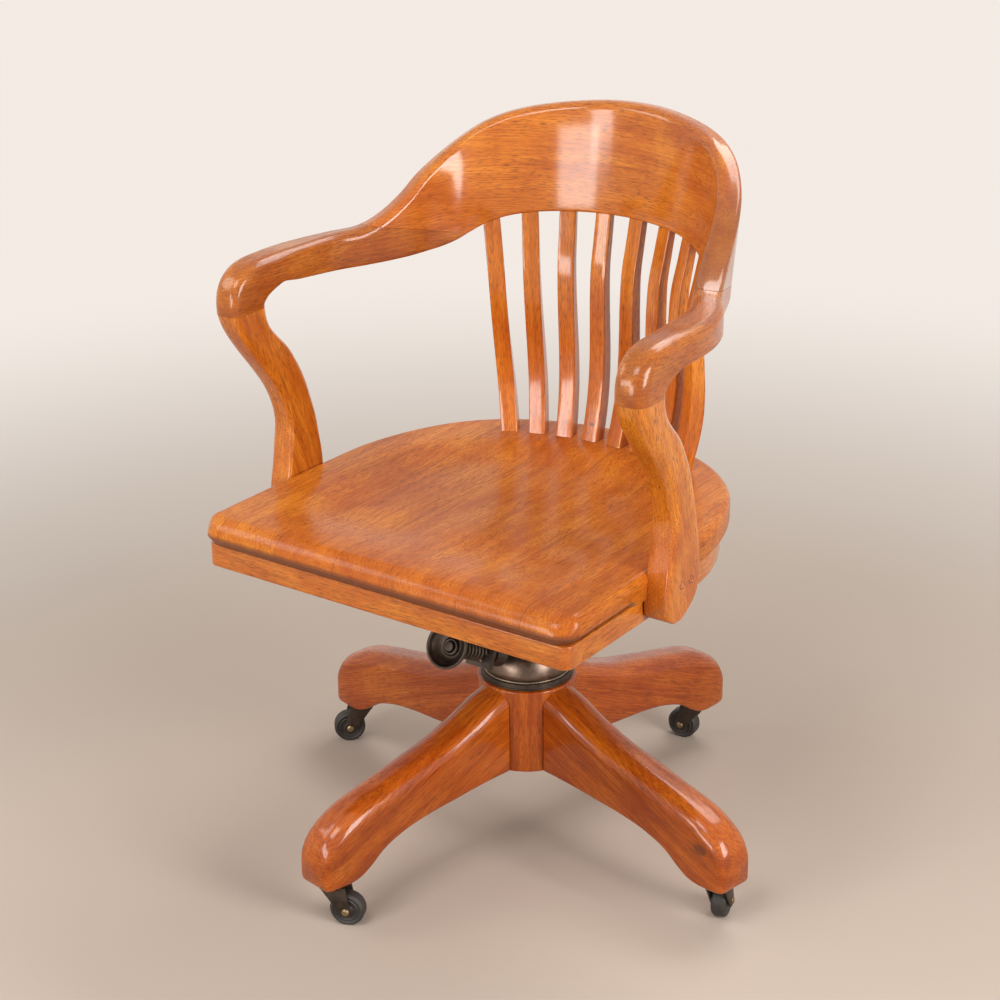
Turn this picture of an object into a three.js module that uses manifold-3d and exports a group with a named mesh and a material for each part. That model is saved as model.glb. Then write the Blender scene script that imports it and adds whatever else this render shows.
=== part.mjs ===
// Bankers swivel chair in oak: saddled seat on a tilting and swivelling iron, four arched legs on casters.
// Millimetres, +Z up. Origin on the floor under the swivel axis; the sitter looks along -Y.
import * as THREE from "three";
import { mergeVertices } from "three/addons/utils/BufferGeometryUtils.js";
import Module from "manifold-3d";

const wasm = await Module();
wasm.setup();

const { degToRad, lerp } = THREE.MathUtils;

// Clearances and cutting overrun
const fitGap = 0.3;
const overrun = 6;

// Hub post and legs
const baseYaw = degToRad(-11.3);
const legCount = 4;
const hubRadius = 60;
const hubBottom = 105;
const hubTop = 212;
const hubChamfer = 1.5;
const legReach = 341;
const legThickness = 54;
const footHeight = 56;
const legTopRound = 15;
const legUnderRound = 4;
// Along the leg from hub face to nose: crown height, underside height and width.
const legStationShares = [
  { along: -0.06, crown: 1, under: 0.312, wide: 1 },
  { along: 0.054, crown: 0.948, under: 0.3105, wide: 1 },
  { along: 0.164, crown: 0.86, under: 0.3035, wide: 1 },
  { along: 0.3, crown: 0.7695, under: 0.2866, wide: 1 },
  { along: 0.454, crown: 0.702, under: 0.2657, wide: 1 },
  { along: 0.58, crown: 0.652, under: 0.228, wide: 1 },
  { along: 0.7, crown: 0.6055, under: 0.1485, wide: 1 },
  { along: 0.771, crown: 0.5757, under: 0.06, wide: 1 },
  { along: 0.821, crown: 0.55, under: 0.014, wide: 1 },
  { along: 0.868, crown: 0.514, under: 0, wide: 1 },
  { along: 0.918, crown: 0.4635, under: 0, wide: 0.98 },
  { along: 0.952, crown: 0.417, under: 0, wide: 0.95 },
  { along: 0.976, crown: 0.366, under: 0.002, wide: 0.9 },
  { along: 0.992, crown: 0.314, under: 0.012, wide: 0.82 },
  { along: 1, crown: 0.265, under: 0.035, wide: 0.72 },
];

// Hub ironwork on the swivel axis
const tubeRadius = 20;
const tubeBottomInset = 5;
const ringRadius = 54.5;
const ringLipRadius = 56;
const ringLipHeight = 2.2;
const ringHeight = 7;
const raceRadius = 53;
const raceHeight = 2.6;
const nutRadius = 52;
const nutHeight = 43;
const nutCollarRadius = 24;
const nutProfileShares = [
  { out: 0.985, up: 0 },
  { out: 1, up: 0.08 },
  { out: 0.985, up: 0.22 },
  { out: 0.935, up: 0.4 },
  { out: 0.85, up: 0.58 },
  { out: 0.725, up: 0.745 },
  { out: 0.58, up: 0.86 },
];
const nutCollarShare = 0.91;

// Spindle
const spindleRadius = 12;
const spindleBottom = 118;
const spindleLength = 200;
const spindleChamfer = 2;

// Tilt pivot and the yoke on the spindle's head
const pivotForward = 50;
const pivotHeight = 359;
const yokeBottom = 269;
const yokeSocketRadius = 22;
const yokeSocketHeight = 58;
const yokeWebHalf = 14;
const yokeBossRadius = 18;
const yokeBossHalf = 29;
const pinRadius = 7;
const pinHeadRadius = 10.5;
const pinHeadThickness = 3;

// Tension rod, its spring and its knob, on an axis that rises to the front
const tensionTilt = degToRad(28);
const lugSwing = 95;
const lugThickness = 7;
const lugHalfWidth = 17;
const lugFoot = 17;
const rodRadius = 6;
const rodFrontReach = 71;
const hornBossRadius = 13;
const hornBossLength = 22;
const hornSetback = 12;
const slotUnder = 4.8;
const slotOver = 1;
const springLength = 51.4;
const springRadius = 9.5;
const springWire = 4;
const springTurns = 6;
const springSteps = 8;
const springSides = 5;
const washerRadius = 14;
const washerThickness = 3;
const knobRadius = 27;
const knobDepth = 21;
const knobBossRadius = 11;
const knobRim = 3.2;

// Casters
const casterInset = 27;
const socketPlateRadius = 17;
const socketPlateThickness = 3;
const socketTubeRadius = 8;
const socketDepth = 34;
const stemRadius = 4.8;
const stemEndGap = 2;
const crownRadius = 14;
const crownHeight = 6;
const casterTrail = 19;
const wheelRadius = 20.5;
const wheelWidth = 18;
const wheelHubRadius = 6.5;
const wheelBeadRadius = 13;
const wheelFaceDish = 1.6;
const tyreRound = 3;
const forkThickness = 2.6;
const forkClearance = 1;
const forkEyeRadius = 7.5;
const axleRadius = 3;
const axleHeadRadius = 4.8;
const axleHeadThickness = 1.8;
// How each caster happened to stand, from the front one round.
const casterYaws = [degToRad(22), degToRad(104), degToRad(184), degToRad(222)];

// Seat board
const seatHalf = 252;
const seatArcForward = 30;
const seatFront = 291;
const seatBack = 222;
const seatCornerRadius = 26;
const seatBottom = 423.5;
const seatThickness = 31;
const seatUnderEase = 2;
const seatUnderChamfer = 8;
const seatBeadHeight = 9.5;
const chamferStop = 168;
const chamferFade = 16;
// From the front corner round to the middle of the back: share of the widest half and of the length.
const seatEdgeShares = [
  { out: 1, back: 0.148 },
  { out: 0.998, back: 0.283 },
  { out: 0.994, back: 0.43 },
  { out: 0.982, back: 0.567 },
  { out: 0.95, back: 0.645 },
  { out: 0.897, back: 0.723 },
  { out: 0.802, back: 0.813 },
  { out: 0.643, back: 0.897 },
  { out: 0.456, back: 0.953 },
  { out: 0.234, back: 0.988 },
  { out: 0, back: 1 },
];
const seatEdgeSteps = 34;
const seatSideRound = 11;
const seatFrontRound = 24;
const dishDepth = 10;
const dishInset = 38;
const dishBack = 178;
const dishFrontInset = 34;
const pommelRise = 4.5;
const pommelHalfWidth = 60;

// Seat frame under the board
const railHeight = 27;
const railThickness = 26;
const railSetback = 5;
const railArcForward = 39;
const frontRailSetback = 8;
const frontRailThickness = 28;
const railCornerRadius = 12;
const battenHeight = 20;
const battenWidth = 60;
const frontBattenY = -120;
const rearBattenY = 55;

// Seat iron
const ironThickness = 4;
const strapWidth = 32;
const strapSpread = 75;
const strapFront = 152;
const strapRear = 88;
const ironPlateFront = 120;
const ironPlateRear = 5;
const cheekThickness = 7;
const cheekEyeRadius = 14;
const cheekTopHalf = 27;

// Bow of crest rail and arms
const bowRadius = 223.5;
const bowCentreForward = 13;
const crestLow = 733;
const crestHeight = 134;
const crestThickness = 27;
const armTop = 727.5;
const armThickness = 33.5;
const armWidth = 44;
const armOverhang = 15;
const armBelly = 7;
const armRoll = 5;
const armReach = 213;
const kneeDrop = 58;
const scarfTopY = 2;
const scarfTopZ = 732;
const scarfFall = degToRad(13.2);
const scarfReachBack = 125;

// Arm posts
const postForward = 136.5;
const postThickness = 32;
const postTopThickness = 36;
const postSplay = 5;
const postBottom = 398.5;
const postTopRound = 15;
const postInnerRound = 9;
const plugRadius = 5.2;
const plugDepth = 9;
const plugProud = 1.2;
const plugHeight = 36;
const plugSpacing = 24;

// Slats
const slatCount = 8;
const slatWidth = 20.5;
const slatFootDepth = 17.5;
const slatHeadDepth = 10.5;
const slatArcRadius = 276;
const slatArcY = 161;
const slatFootSpread = degToRad(7.25);
const slatHeadSpread = degToRad(12.4);
const slatHeadSetback = 3.5;
const slatBow = 9;
const slatEdge = 1.4;

const oak = (name) => new THREE.MeshStandardMaterial({ name, color: 0xb5651d, roughness: 0.3, metalness: 0 });
const iron = (name) => new THREE.MeshStandardMaterial({ name, color: 0x2b2826, roughness: 0.5, metalness: 0.85 });
const steel = (name) => new THREE.MeshStandardMaterial({ name, color: 0x7d7468, roughness: 0.35, metalness: 0.95 });
const brass = (name) => new THREE.MeshStandardMaterial({ name, color: 0xa88a55, roughness: 0.4, metalness: 0.9 });
const tyre = (name) => new THREE.MeshStandardMaterial({ name, color: 0x1d1b1a, roughness: 0.55, metalness: 0 });

const X = new THREE.Vector3(1, 0, 0);
const Y = new THREE.Vector3(0, 1, 0);
const Z = new THREE.Vector3(0, 0, 1);
const v3 = (x, y, z) => new THREE.Vector3(x, y, z);

// A closed three.js geometry as a solid: shared vertices merged, faces turned outwards.
function solid(geometry) {
  const flat = geometry.index ? geometry.toNonIndexed() : geometry;
  const bare = new THREE.BufferGeometry().setAttribute("position", flat.getAttribute("position"));
  const merged = mergeVertices(bare);
  const at = merged.attributes.position;
  const corners = [];
  let volume = 0;
  const a = v3(0, 0, 0);
  const b = v3(0, 0, 0);
  const c = v3(0, 0, 0);
  for (let i = 0; i < merged.index.count; i += 3) {
    const [p, q, r] = [merged.index.getX(i), merged.index.getX(i + 1), merged.index.getX(i + 2)];
    if (p === q || q === r || p === r) continue;
    corners.push([p, q, r]);
    volume += a.fromBufferAttribute(at, p).dot(b.fromBufferAttribute(at, q).cross(c.fromBufferAttribute(at, r)));
  }
  const faces = corners.flatMap(([p, q, r]) => (volume < 0 ? [p, r, q] : [p, q, r]));
  return new wasm.Manifold(
    new wasm.Mesh({
      numProp: 3,
      vertProperties: Float32Array.from(at.array),
      triVerts: Uint32Array.from(faces),
    }),
  );
}

function geometryOf(body) {
  const { vertProperties, triVerts } = body.getMesh();
  const geometry = new THREE.BufferGeometry();
  geometry.setAttribute("position", new THREE.BufferAttribute(vertProperties, 3));
  geometry.setIndex(new THREE.BufferAttribute(triVerts, 1));
  return geometry;
}

function join(first, ...others) {
  return others.reduce((sum, body) => sum.add(body), first);
}

function cut(first, ...tools) {
  return tools.reduce((left, tool) => left.subtract(tool), first);
}

function node(name, material, body, parent) {
  const geometry = body.isBufferGeometry ? body : geometryOf(body);
  geometry.computeVertexNormals();
  const mesh = new THREE.Mesh(geometry, material(`${name} surface`));
  mesh.name = name;
  parent.add(mesh);
  return mesh;
}

// Skin through a run of rings with the same number of points, with a fan at each end.
function loft(rings) {
  const points = [];
  const quad = (a, b, c, d) => points.push(a, b, c, a, c, d);
  for (let k = 0; k + 1 < rings.length; k++)
    for (let i = 0; i < rings[k].length; i++) {
      const j = (i + 1) % rings[k].length;
      quad(rings[k][i], rings[k][j], rings[k + 1][j], rings[k + 1][i]);
    }
  const cap = (ring, flip) => {
    for (let i = 1; i + 1 < ring.length; i++)
      if (flip) points.push(ring[0], ring[i + 1], ring[i]);
      else points.push(ring[0], ring[i], ring[i + 1]);
  };
  cap(rings[0], true);
  cap(rings[rings.length - 1], false);
  return new THREE.BufferGeometry().setFromPoints(points);
}

// Rectangle with four elliptic corners, walked from low-inner round by the outer side.
function roundedSection({ inner, outer, low, high, corners, steps }) {
  const halfWide = (outer - inner) / 2;
  const halfHigh = (high - low) / 2;
  const spots = [
    [inner, low, 1, 1, Math.PI],
    [outer, low, -1, 1, -Math.PI / 2],
    [outer, high, -1, -1, 0],
    [inner, high, 1, -1, Math.PI / 2],
  ];
  return spots.flatMap(([x, y, sx, sy, start], i) => {
    const rx = Math.min(corners[i][0], halfWide * 0.96);
    const ry = Math.min(corners[i][1], halfHigh * 0.96);
    return Array.from({ length: steps[i] + 1 }, (_, k) => {
      const turn = start + ((Math.PI / 2) * k) / steps[i];
      return new THREE.Vector2(x + sx * rx + rx * Math.cos(turn), y + sy * ry + ry * Math.sin(turn));
    });
  });
}

function box(x0, x1, y0, y1, z0, z1) {
  return new THREE.BoxGeometry(x1 - x0, y1 - y0, z1 - z0).translate((x0 + x1) / 2, (y0 + y1) / 2, (z0 + z1) / 2);
}

function aim(geometry, origin, direction) {
  return geometry
    .applyQuaternion(new THREE.Quaternion().setFromUnitVectors(Y, direction.clone().normalize()))
    .translate(origin.x, origin.y, origin.z);
}

function bar(radius, from, to, sides = 16) {
  const along = to.clone().sub(from);
  const middle = from.clone().add(to).multiplyScalar(0.5);
  return aim(new THREE.CylinderGeometry(radius, radius, along.length(), sides), middle, along);
}

// Turned piece: [radius, distance along the axis] pairs, closed on the axis or on themselves.
function turned(pairs, origin, direction, sides = 28) {
  const profile = pairs.map(([r, s]) => new THREE.Vector2(r, s));
  return aim(new THREE.LatheGeometry(profile, sides), origin, direction);
}

function turnedRing(bore, pairs, origin, direction, sides = 28) {
  const first = pairs[0][1];
  const last = pairs[pairs.length - 1][1];
  return turned([[bore, first], ...pairs, [bore, last], [bore, first]], origin, direction, sides);
}

// Plate whose outline lies in the Y-Z plane, from x0 to x1.
function plateYZ(outline, x0, x1) {
  const shape = new THREE.Shape(outline.map(([y, z]) => new THREE.Vector2(y, z)));
  return new THREE.ExtrudeGeometry(shape, { depth: x1 - x0, bevelEnabled: false })
    .applyMatrix4(new THREE.Matrix4().makeBasis(Y, Z, X))
    .translate(x0, 0, 0);
}

function arcPoints(cy, cz, radius, from, to, steps) {
  return Array.from({ length: steps + 1 }, (_, k) => {
    const turn = lerp(from, to, k / steps);
    return [cy + radius * Math.cos(turn), cz + radius * Math.sin(turn)];
  });
}

function mirrored(geometry) {
  return geometry.clone().scale(-1, 1, 1);
}

// Sizes that follow the seat and the legs
const railHalf = seatHalf - railSetback;
const armHalfSpan = seatHalf + armOverhang;
const casterReach = legReach - casterInset;

const chair = new THREE.Group();
const base = new THREE.Group();
base.rotation.z = baseYaw;
chair.add(base);

// Hub post with its bore, and the four legs cut to its round.
const tubeBore = tubeRadius + fitGap;
node(
  "hub_post",
  oak,
  solid(
    turnedRing(
      tubeBore,
      [
        [hubRadius - hubChamfer, hubBottom],
        [hubRadius, hubBottom + hubChamfer],
        [hubRadius, hubTop - hubChamfer],
        [hubRadius - hubChamfer, hubTop],
      ],
      v3(0, 0, 0),
      Z,
      24,
    ),
  ),
  base,
);

function legSolid() {
  const length = legReach - hubRadius;
  const rise = hubTop - footHeight;
  const rings = legStationShares.map(({ along, crown, under, wide }) => {
    const reach = hubRadius + length * along;
    const half = (legThickness / 2) * wide;
    return roundedSection({
      inner: -half,
      outer: half,
      low: footHeight + rise * under,
      high: footHeight + rise * crown,
      corners: [
        [legUnderRound, legUnderRound],
        [legUnderRound, legUnderRound],
        [legTopRound, legTopRound],
        [legTopRound, legTopRound],
      ],
      steps: [1, 1, 3, 3],
    }).map((p) => v3(reach, p.x, p.y));
  });
  const hubTool = bar(hubRadius + fitGap, v3(0, 0, hubBottom - overrun), v3(0, 0, hubTop + overrun), 48);
  const socketTool = bar(
    socketTubeRadius + fitGap,
    v3(casterReach, 0, footHeight - overrun),
    v3(casterReach, 0, footHeight + socketDepth + fitGap),
  );
  return cut(solid(loft(rings)), solid(hubTool), solid(socketTool));
}

const leg = legSolid();
const legTurns = Array.from({ length: legCount }, (_, k) => -Math.PI / 2 + (k * 2 * Math.PI) / legCount);
legTurns.forEach((turn, k) => {
  node(`base_leg_${k + 1}`, oak, leg, base).rotation.z = turn;
});

// Ring, race and dome nut stand one on the other; the spindle runs through them.
const spindleBore = spindleRadius + fitGap;
const ringBottom = hubTop + fitGap;
const ringTop = ringBottom + ringHeight;
const raceBottom = ringTop + fitGap;
const raceTop = raceBottom + raceHeight;
const nutBottom = raceTop + fitGap;
const nutTop = nutBottom + nutHeight;

node(
  "guide_tube",
  steel,
  solid(
    turnedRing(
      spindleBore,
      [
        [tubeRadius, hubBottom + tubeBottomInset],
        [tubeRadius, ringTop],
      ],
      v3(0, 0, 0),
      Z,
    ),
  ),
  base,
);
node(
  "hub_ring",
  iron,
  solid(
    turnedRing(
      tubeBore,
      [
        [ringLipRadius, ringBottom],
        [ringLipRadius, ringBottom + ringLipHeight],
        [ringRadius, ringBottom + ringLipHeight],
        [ringRadius, ringTop],
      ],
      v3(0, 0, 0),
      Z,
      24,
    ),
  ),
  base,
);
node(
  "bearing_race",
  steel,
  solid(
    turnedRing(
      spindleBore,
      [
        [raceRadius, raceBottom],
        [raceRadius, raceTop],
      ],
      v3(0, 0, 0),
      Z,
      24,
    ),
  ),
  chair,
);
node(
  "bell_nut",
  steel,
  solid(
    turnedRing(
      spindleBore,
      [
        ...nutProfileShares.map(({ out, up }) => [nutRadius * out, nutBottom + nutHeight * up]),
        [nutCollarRadius, nutBottom + nutHeight * nutCollarShare],
        [nutCollarRadius, nutTop],
      ],
      v3(0, 0, 0),
      Z,
      24,
    ),
  ),
  chair,
);
node(
  "spindle",
  steel,
  solid(
    turned(
      [
        [0, spindleBottom],
        [spindleRadius - spindleChamfer, spindleBottom],
        [spindleRadius, spindleBottom + spindleChamfer],
        [spindleRadius, spindleBottom + spindleLength],
        [0, spindleBottom + spindleLength],
      ],
      v3(0, 0, 0),
      Z,
      24,
    ),
  ),
  chair,
);

// The tension axis touches the lug's swing about the tilt pivot.
const rise = v3(0, -Math.cos(tensionTilt), Math.sin(tensionTilt));
const across = v3(0, Math.sin(tensionTilt), Math.cos(tensionTilt));
const pivot = v3(0, -pivotForward, pivotHeight);
const lugCentre = pivot.clone().addScaledVector(across, -lugSwing);
const onTension = (s, t = 0) => lugCentre.clone().addScaledVector(rise, s).addScaledVector(across, t);
const yz = (p) => [p.y, p.z];

const hornFront = -lugThickness - hornSetback + fitGap;
const hornRear = hornFront - hornBossLength;
const yokeTop = yokeBottom + yokeSocketHeight;
const yokeBody = join(
  solid(bar(yokeSocketRadius, v3(0, 0, yokeBottom), v3(0, 0, yokeTop), 20)),
  solid(bar(yokeBossRadius, v3(-yokeBossHalf, pivot.y, pivot.z), v3(yokeBossHalf, pivot.y, pivot.z), 20)),
  solid(
    plateYZ(
      [
        [yokeSocketRadius / 2, yokeTop - yokeSocketRadius],
        [yokeSocketRadius * 0.8, yokeTop],
        [pivot.y + yokeBossRadius * 0.45, pivot.z + yokeBossRadius * 0.85],
        [pivot.y - yokeBossRadius * 0.9, pivot.z - yokeBossRadius * 0.2],
        [-yokeSocketRadius * 0.9, yokeBottom + yokeSocketHeight * 0.3],
      ],
      -yokeWebHalf,
      yokeWebHalf,
    ),
  ),
  solid(
    plateYZ(
      [
        [0, yokeBottom],
        [0, yokeBottom + yokeSocketHeight * 0.45],
        yz(onTension(hornRear, hornBossRadius * 0.95)),
        yz(onTension(hornFront, hornBossRadius * 0.5)),
        yz(onTension(hornFront, -hornBossRadius * 0.5)),
        yz(onTension(hornRear + hornBossLength * 0.4, -hornBossRadius * 0.8)),
        yz(onTension(hornRear, -hornBossRadius * 0.6)),
        [-nutCollarRadius - washerRadius * 0.3, yokeBottom],
      ],
      -yokeWebHalf * 0.6,
      yokeWebHalf * 0.6,
    ),
  ),
  solid(bar(hornBossRadius, onTension(hornRear), onTension(hornFront), 16)),
);
const rodTool = bar(rodRadius + fitGap, onTension(hornRear - overrun), onTension(hornFront + overrun), 16);
const spindleSocket = bar(
  spindleBore,
  v3(0, 0, yokeBottom - overrun),
  v3(0, 0, spindleBottom + spindleLength + fitGap),
  20,
);
const pinReach = yokeBossHalf + fitGap + cheekThickness + fitGap;
const pinTool = bar(
  pinRadius + fitGap,
  v3(-pinReach - overrun, pivot.y, pivot.z),
  v3(pinReach + overrun, pivot.y, pivot.z),
  16,
);
node("tilt_yoke", iron, cut(yokeBody, solid(rodTool), solid(spindleSocket), solid(pinTool)), chair);
node(
  "tilt_pin",
  steel,
  join(
    solid(bar(pinRadius, v3(-pinReach, pivot.y, pivot.z), v3(pinReach, pivot.y, pivot.z))),
    ...[-1, 1].map((side) =>
      solid(
        bar(
          pinHeadRadius,
          v3(side * pinReach, pivot.y, pivot.z),
          v3(side * (pinReach + pinHeadThickness), pivot.y, pivot.z),
        ),
      ),
    ),
  ),
  chair,
);
node("tension_rod", steel, solid(bar(rodRadius, onTension(hornRear), onTension(rodFrontReach), 16)), chair);

// Coil spring between lug and washer: one unbroken wire with straight ends along the axis.
function springGeometry() {
  const start = fitGap;
  const steps = springTurns * springSteps;
  const wireRadius = springWire / 2;
  const coilStart = start + springWire;
  const coilLength = springLength - 2 * springWire;
  const spoke = (turn) => X.clone().multiplyScalar(Math.cos(turn)).addScaledVector(across, Math.sin(turn));
  const centre = (s, turn) => onTension(s).addScaledVector(spoke(turn), springRadius);
  const coil = Array.from({ length: steps + 1 }, (_, k) =>
    centre(coilStart + (coilLength * k) / steps, (k * 2 * Math.PI) / springSteps),
  );
  const lastTurn = (steps * 2 * Math.PI) / springSteps;
  const route = [centre(start, 0), ...coil, centre(start + springLength, lastTurn)];
  const rings = route.map((p, k) => {
    const end = k === 0 || k === route.length - 1;
    const turn = THREE.MathUtils.clamp(k - 1, 0, steps) * ((2 * Math.PI) / springSteps);
    const outward = spoke(turn);
    const before = route[Math.max(k - 1, 0)];
    const after = route[Math.min(k + 1, route.length - 1)];
    const along = end ? rise.clone() : after.clone().sub(before).normalize();
    const side = along.clone().cross(outward).normalize();
    return Array.from({ length: springSides }, (_, i) => {
      const a = (i * 2 * Math.PI) / springSides;
      return p
        .clone()
        .addScaledVector(outward, wireRadius * Math.cos(a))
        .addScaledVector(side, wireRadius * Math.sin(a));
    });
  });
  let least = Infinity;
  coil.forEach((p, i) =>
    coil.forEach((q, j) => {
      if (j - i >= springSteps / 2) least = Math.min(least, p.distanceTo(q) - springWire);
    }),
  );
  console.log(`tension_spring least gap between turns ${least.toFixed(2)} mm`);
  return loft(rings);
}
node("tension_spring", steel, solid(springGeometry()), chair);

const washerBack = fitGap + springLength + fitGap;
const knobBack = washerBack + washerThickness + fitGap;
const rodBore = rodRadius + fitGap;
node(
  "spring_washer",
  steel,
  solid(
    turnedRing(
      rodBore,
      [
        [washerRadius, 0],
        [washerRadius, washerThickness],
      ],
      onTension(washerBack),
      rise,
      20,
    ),
  ),
  chair,
);
// Dished knob: boss at the back, bell-shaped wall, hollow to the front.
node(
  "tension_knob",
  iron,
  solid(
    turned(
      [
        [rodBore, 0],
        [knobBossRadius, 0],
        [knobBossRadius * 1.25, knobDepth * 0.1],
        [knobRadius * 0.72, knobDepth * 0.34],
        [knobRadius * 0.93, knobDepth * 0.66],
        [knobRadius, knobDepth * 0.9],
        [knobRadius, knobDepth],
        [knobRadius - knobRim, knobDepth],
        [knobRadius * 0.84, knobDepth * 0.72],
        [knobRadius * 0.6, knobDepth * 0.48],
        [knobBossRadius, knobDepth * 0.4],
        [knobBossRadius * 0.9, knobDepth * 0.6],
        [rodBore, knobDepth * 0.6],
        [rodBore, 0],
      ],
      onTension(knobBack),
      rise,
      24,
    ),
  ),
  chair,
);

// Seat outline, each point with its outward direction: straight front, round corners, spline to the back.
const seatArcY = -seatArcForward;
const seatLength = seatFront + seatBack;
function seatOutline() {
  const cornerX = seatHalf - seatCornerRadius;
  const cornerY = seatCornerRadius - seatFront;
  const points = [];
  const corner = (side, from, to) => {
    for (let k = 0; k <= 4; k++) {
      const out = new THREE.Vector2(1, 0).rotateAround(new THREE.Vector2(0, 0), lerp(from, to, k / 4));
      points.push({ p: new THREE.Vector2(side * cornerX, cornerY).addScaledVector(out, seatCornerRadius), out });
    }
  };
  corner(1, -Math.PI / 2, 0);
  const half = seatEdgeShares.map(
    ({ out, back }) => new THREE.Vector2(seatHalf * out, seatLength * back - seatFront),
  );
  const other = half.slice(0, -1).reverse().map((p) => new THREE.Vector2(-p.x, p.y));
  const edge = new THREE.SplineCurve([
    new THREE.Vector2(seatHalf, cornerY),
    ...half,
    ...other,
    new THREE.Vector2(-seatHalf, cornerY),
  ]);
  for (let k = 1; k < seatEdgeSteps; k++) {
    const along = edge.getTangentAt(k / seatEdgeSteps);
    points.push({ p: edge.getPointAt(k / seatEdgeSteps), out: new THREE.Vector2(along.y, -along.x) });
  }
  corner(-1, Math.PI, Math.PI * 1.5);
  const frontSteps = 8;
  for (let k = 1; k < frontSteps; k++)
    points.push({
      p: new THREE.Vector2(lerp(-cornerX, cornerX, k / frontSteps), -seatFront),
      out: new THREE.Vector2(0, -1),
    });
  return points;
}

const seatTop = seatBottom + seatThickness;
const smooth = (t) => THREE.MathUtils.smoothstep(t, 0, 1);
const dishHalfWidth = seatHalf - dishInset;
function seatHeight(x, y) {
  const dy = y - seatArcY;
  const round = dy > 0 ? Math.hypot(x / dishHalfWidth, dy / dishBack) : Math.abs(x) / dishHalfWidth;
  const frontFade = smooth((y + seatFront - dishFrontInset) / seatArcForward / 3);
  const hollow = smooth((1 - round) / 0.42) * frontFade;
  const pommel = smooth(1 - Math.abs(x) / pommelHalfWidth) * smooth((seatArcY - y) / seatFront * 1.6);
  return seatTop - dishDepth * hollow + pommelRise * pommel * frontFade;
}

function seatBoard() {
  const outline = seatOutline();
  const middle = new THREE.Vector2(0, seatArcY * 0.6);
  const frontness = (at) => smooth(Math.max(0, -at.out.y) * 1.25);
  const roundOf = (at) => lerp(seatSideRound, seatFrontRound, frontness(at));
  const chamfered = (at) => 1 - smooth((at.p.y + chamferStop) / chamferFade);
  const ring = (inset, height) =>
    outline.map((at) => {
      const d = inset(at);
      return v3(at.p.x - d * at.out.x, at.p.y - d * at.out.y, height(at));
    });
  const beadTop = seatBottom + seatBeadHeight;
  const drop = (at) => Math.min(roundOf(at), seatTop - beadTop);
  const rings = [
    ring((at) => lerp(seatUnderEase, seatUnderChamfer, chamfered(at)), () => seatBottom),
    ring(() => 0, (at) => seatBottom + lerp(seatUnderEase, seatBeadHeight, chamfered(at))),
    ring(() => 0, (at) => seatTop - drop(at)),
    ...[0.3, 0.62, 1].map((share) => {
      const turn = (share * Math.PI) / 2;
      return ring(
        (at) => roundOf(at) * (1 - Math.cos(turn)),
        (at) => seatTop - drop(at) * (1 - Math.sin(turn)),
      );
    }),
  ];
  const rim = rings[rings.length - 1];
  for (const share of [0.93, 0.84, 0.74, 0.62, 0.46, 0.26])
    rings.push(
      rim.map((p) => {
        const [x, y] = [lerp(middle.x, p.x, share), lerp(middle.y, p.y, share)];
        return v3(x, y, seatHeight(x, y));
      }),
    );
  const points = [];
  for (let k = 0; k + 1 < rings.length; k++)
    for (let i = 0; i < outline.length; i++) {
      const j = (i + 1) % outline.length;
      points.push(rings[k][i], rings[k][j], rings[k + 1][j]);
      points.push(rings[k][i], rings[k + 1][j], rings[k + 1][i]);
    }
  const close = (around, centre, flip) =>
    around.forEach((p, i) => {
      const q = around[(i + 1) % around.length];
      if (flip) points.push(centre, q, p);
      else points.push(centre, p, q);
    });
  close(rings[0], v3(middle.x, middle.y, seatBottom), true);
  close(rings[rings.length - 1], v3(middle.x, middle.y, seatHeight(middle.x, middle.y)), false);
  return solid(new THREE.BufferGeometry().setFromPoints(points));
}

// Arm posts: sawn from a board, upright profile front and back, swelling to the foot.
const postInner = railHalf + fitGap;
const postOuter = postInner + postThickness;
const postMiddle = (postInner + postOuter) / 2;
const kneeJointZ = armTop - kneeDrop;
const postTop = kneeJointZ - fitGap;
const postHeight = postTop - postBottom;
const postDepth = 63;
const postSweep = 73;
// Up the post: front face as shares of its sweep, back face as shares of its depth, flare and edge round.
const postProfileShares = [
  { up: 0, front: -0.14, back: 0.47, flare: 0, round: 0.25 },
  { up: 0.02, front: -0.02, back: 0.66, flare: 0, round: 0.36 },
  { up: 0.06, front: 0.03, back: 0.91, flare: 0, round: 0.42 },
  { up: 0.14, front: 0, back: 1.04, flare: 0, round: 0.45 },
  { up: 0.24, front: -0.07, back: 1.05, flare: 0.02, round: 0.5 },
  { up: 0.34, front: -0.12, back: 0.99, flare: 0.06, round: 0.6 },
  { up: 0.44, front: -0.15, back: 0.922, flare: 0.14, round: 0.74 },
  { up: 0.53, front: -0.07, back: 0.814, flare: 0.25, round: 0.86 },
  { up: 0.61, front: 0.07, back: 0.706, flare: 0.38, round: 0.94 },
  { up: 0.7, front: 0.3, back: 0.525, flare: 0.54, round: 1 },
  { up: 0.8, front: 0.585, back: 0.238, flare: 0.73, round: 1 },
  { up: 0.85, front: 0.72, back: 0.027, flare: 0.82, round: 1 },
  { up: 0.9, front: 0.845, back: -0.156, flare: 0.9, round: 1 },
  { up: 0.95, front: 0.945, back: -0.251, flare: 0.95, round: 1 },
  { up: 1, front: 1.01, back: -0.286, flare: 1, round: 1 },
];
const postFootY = -postForward;
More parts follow.
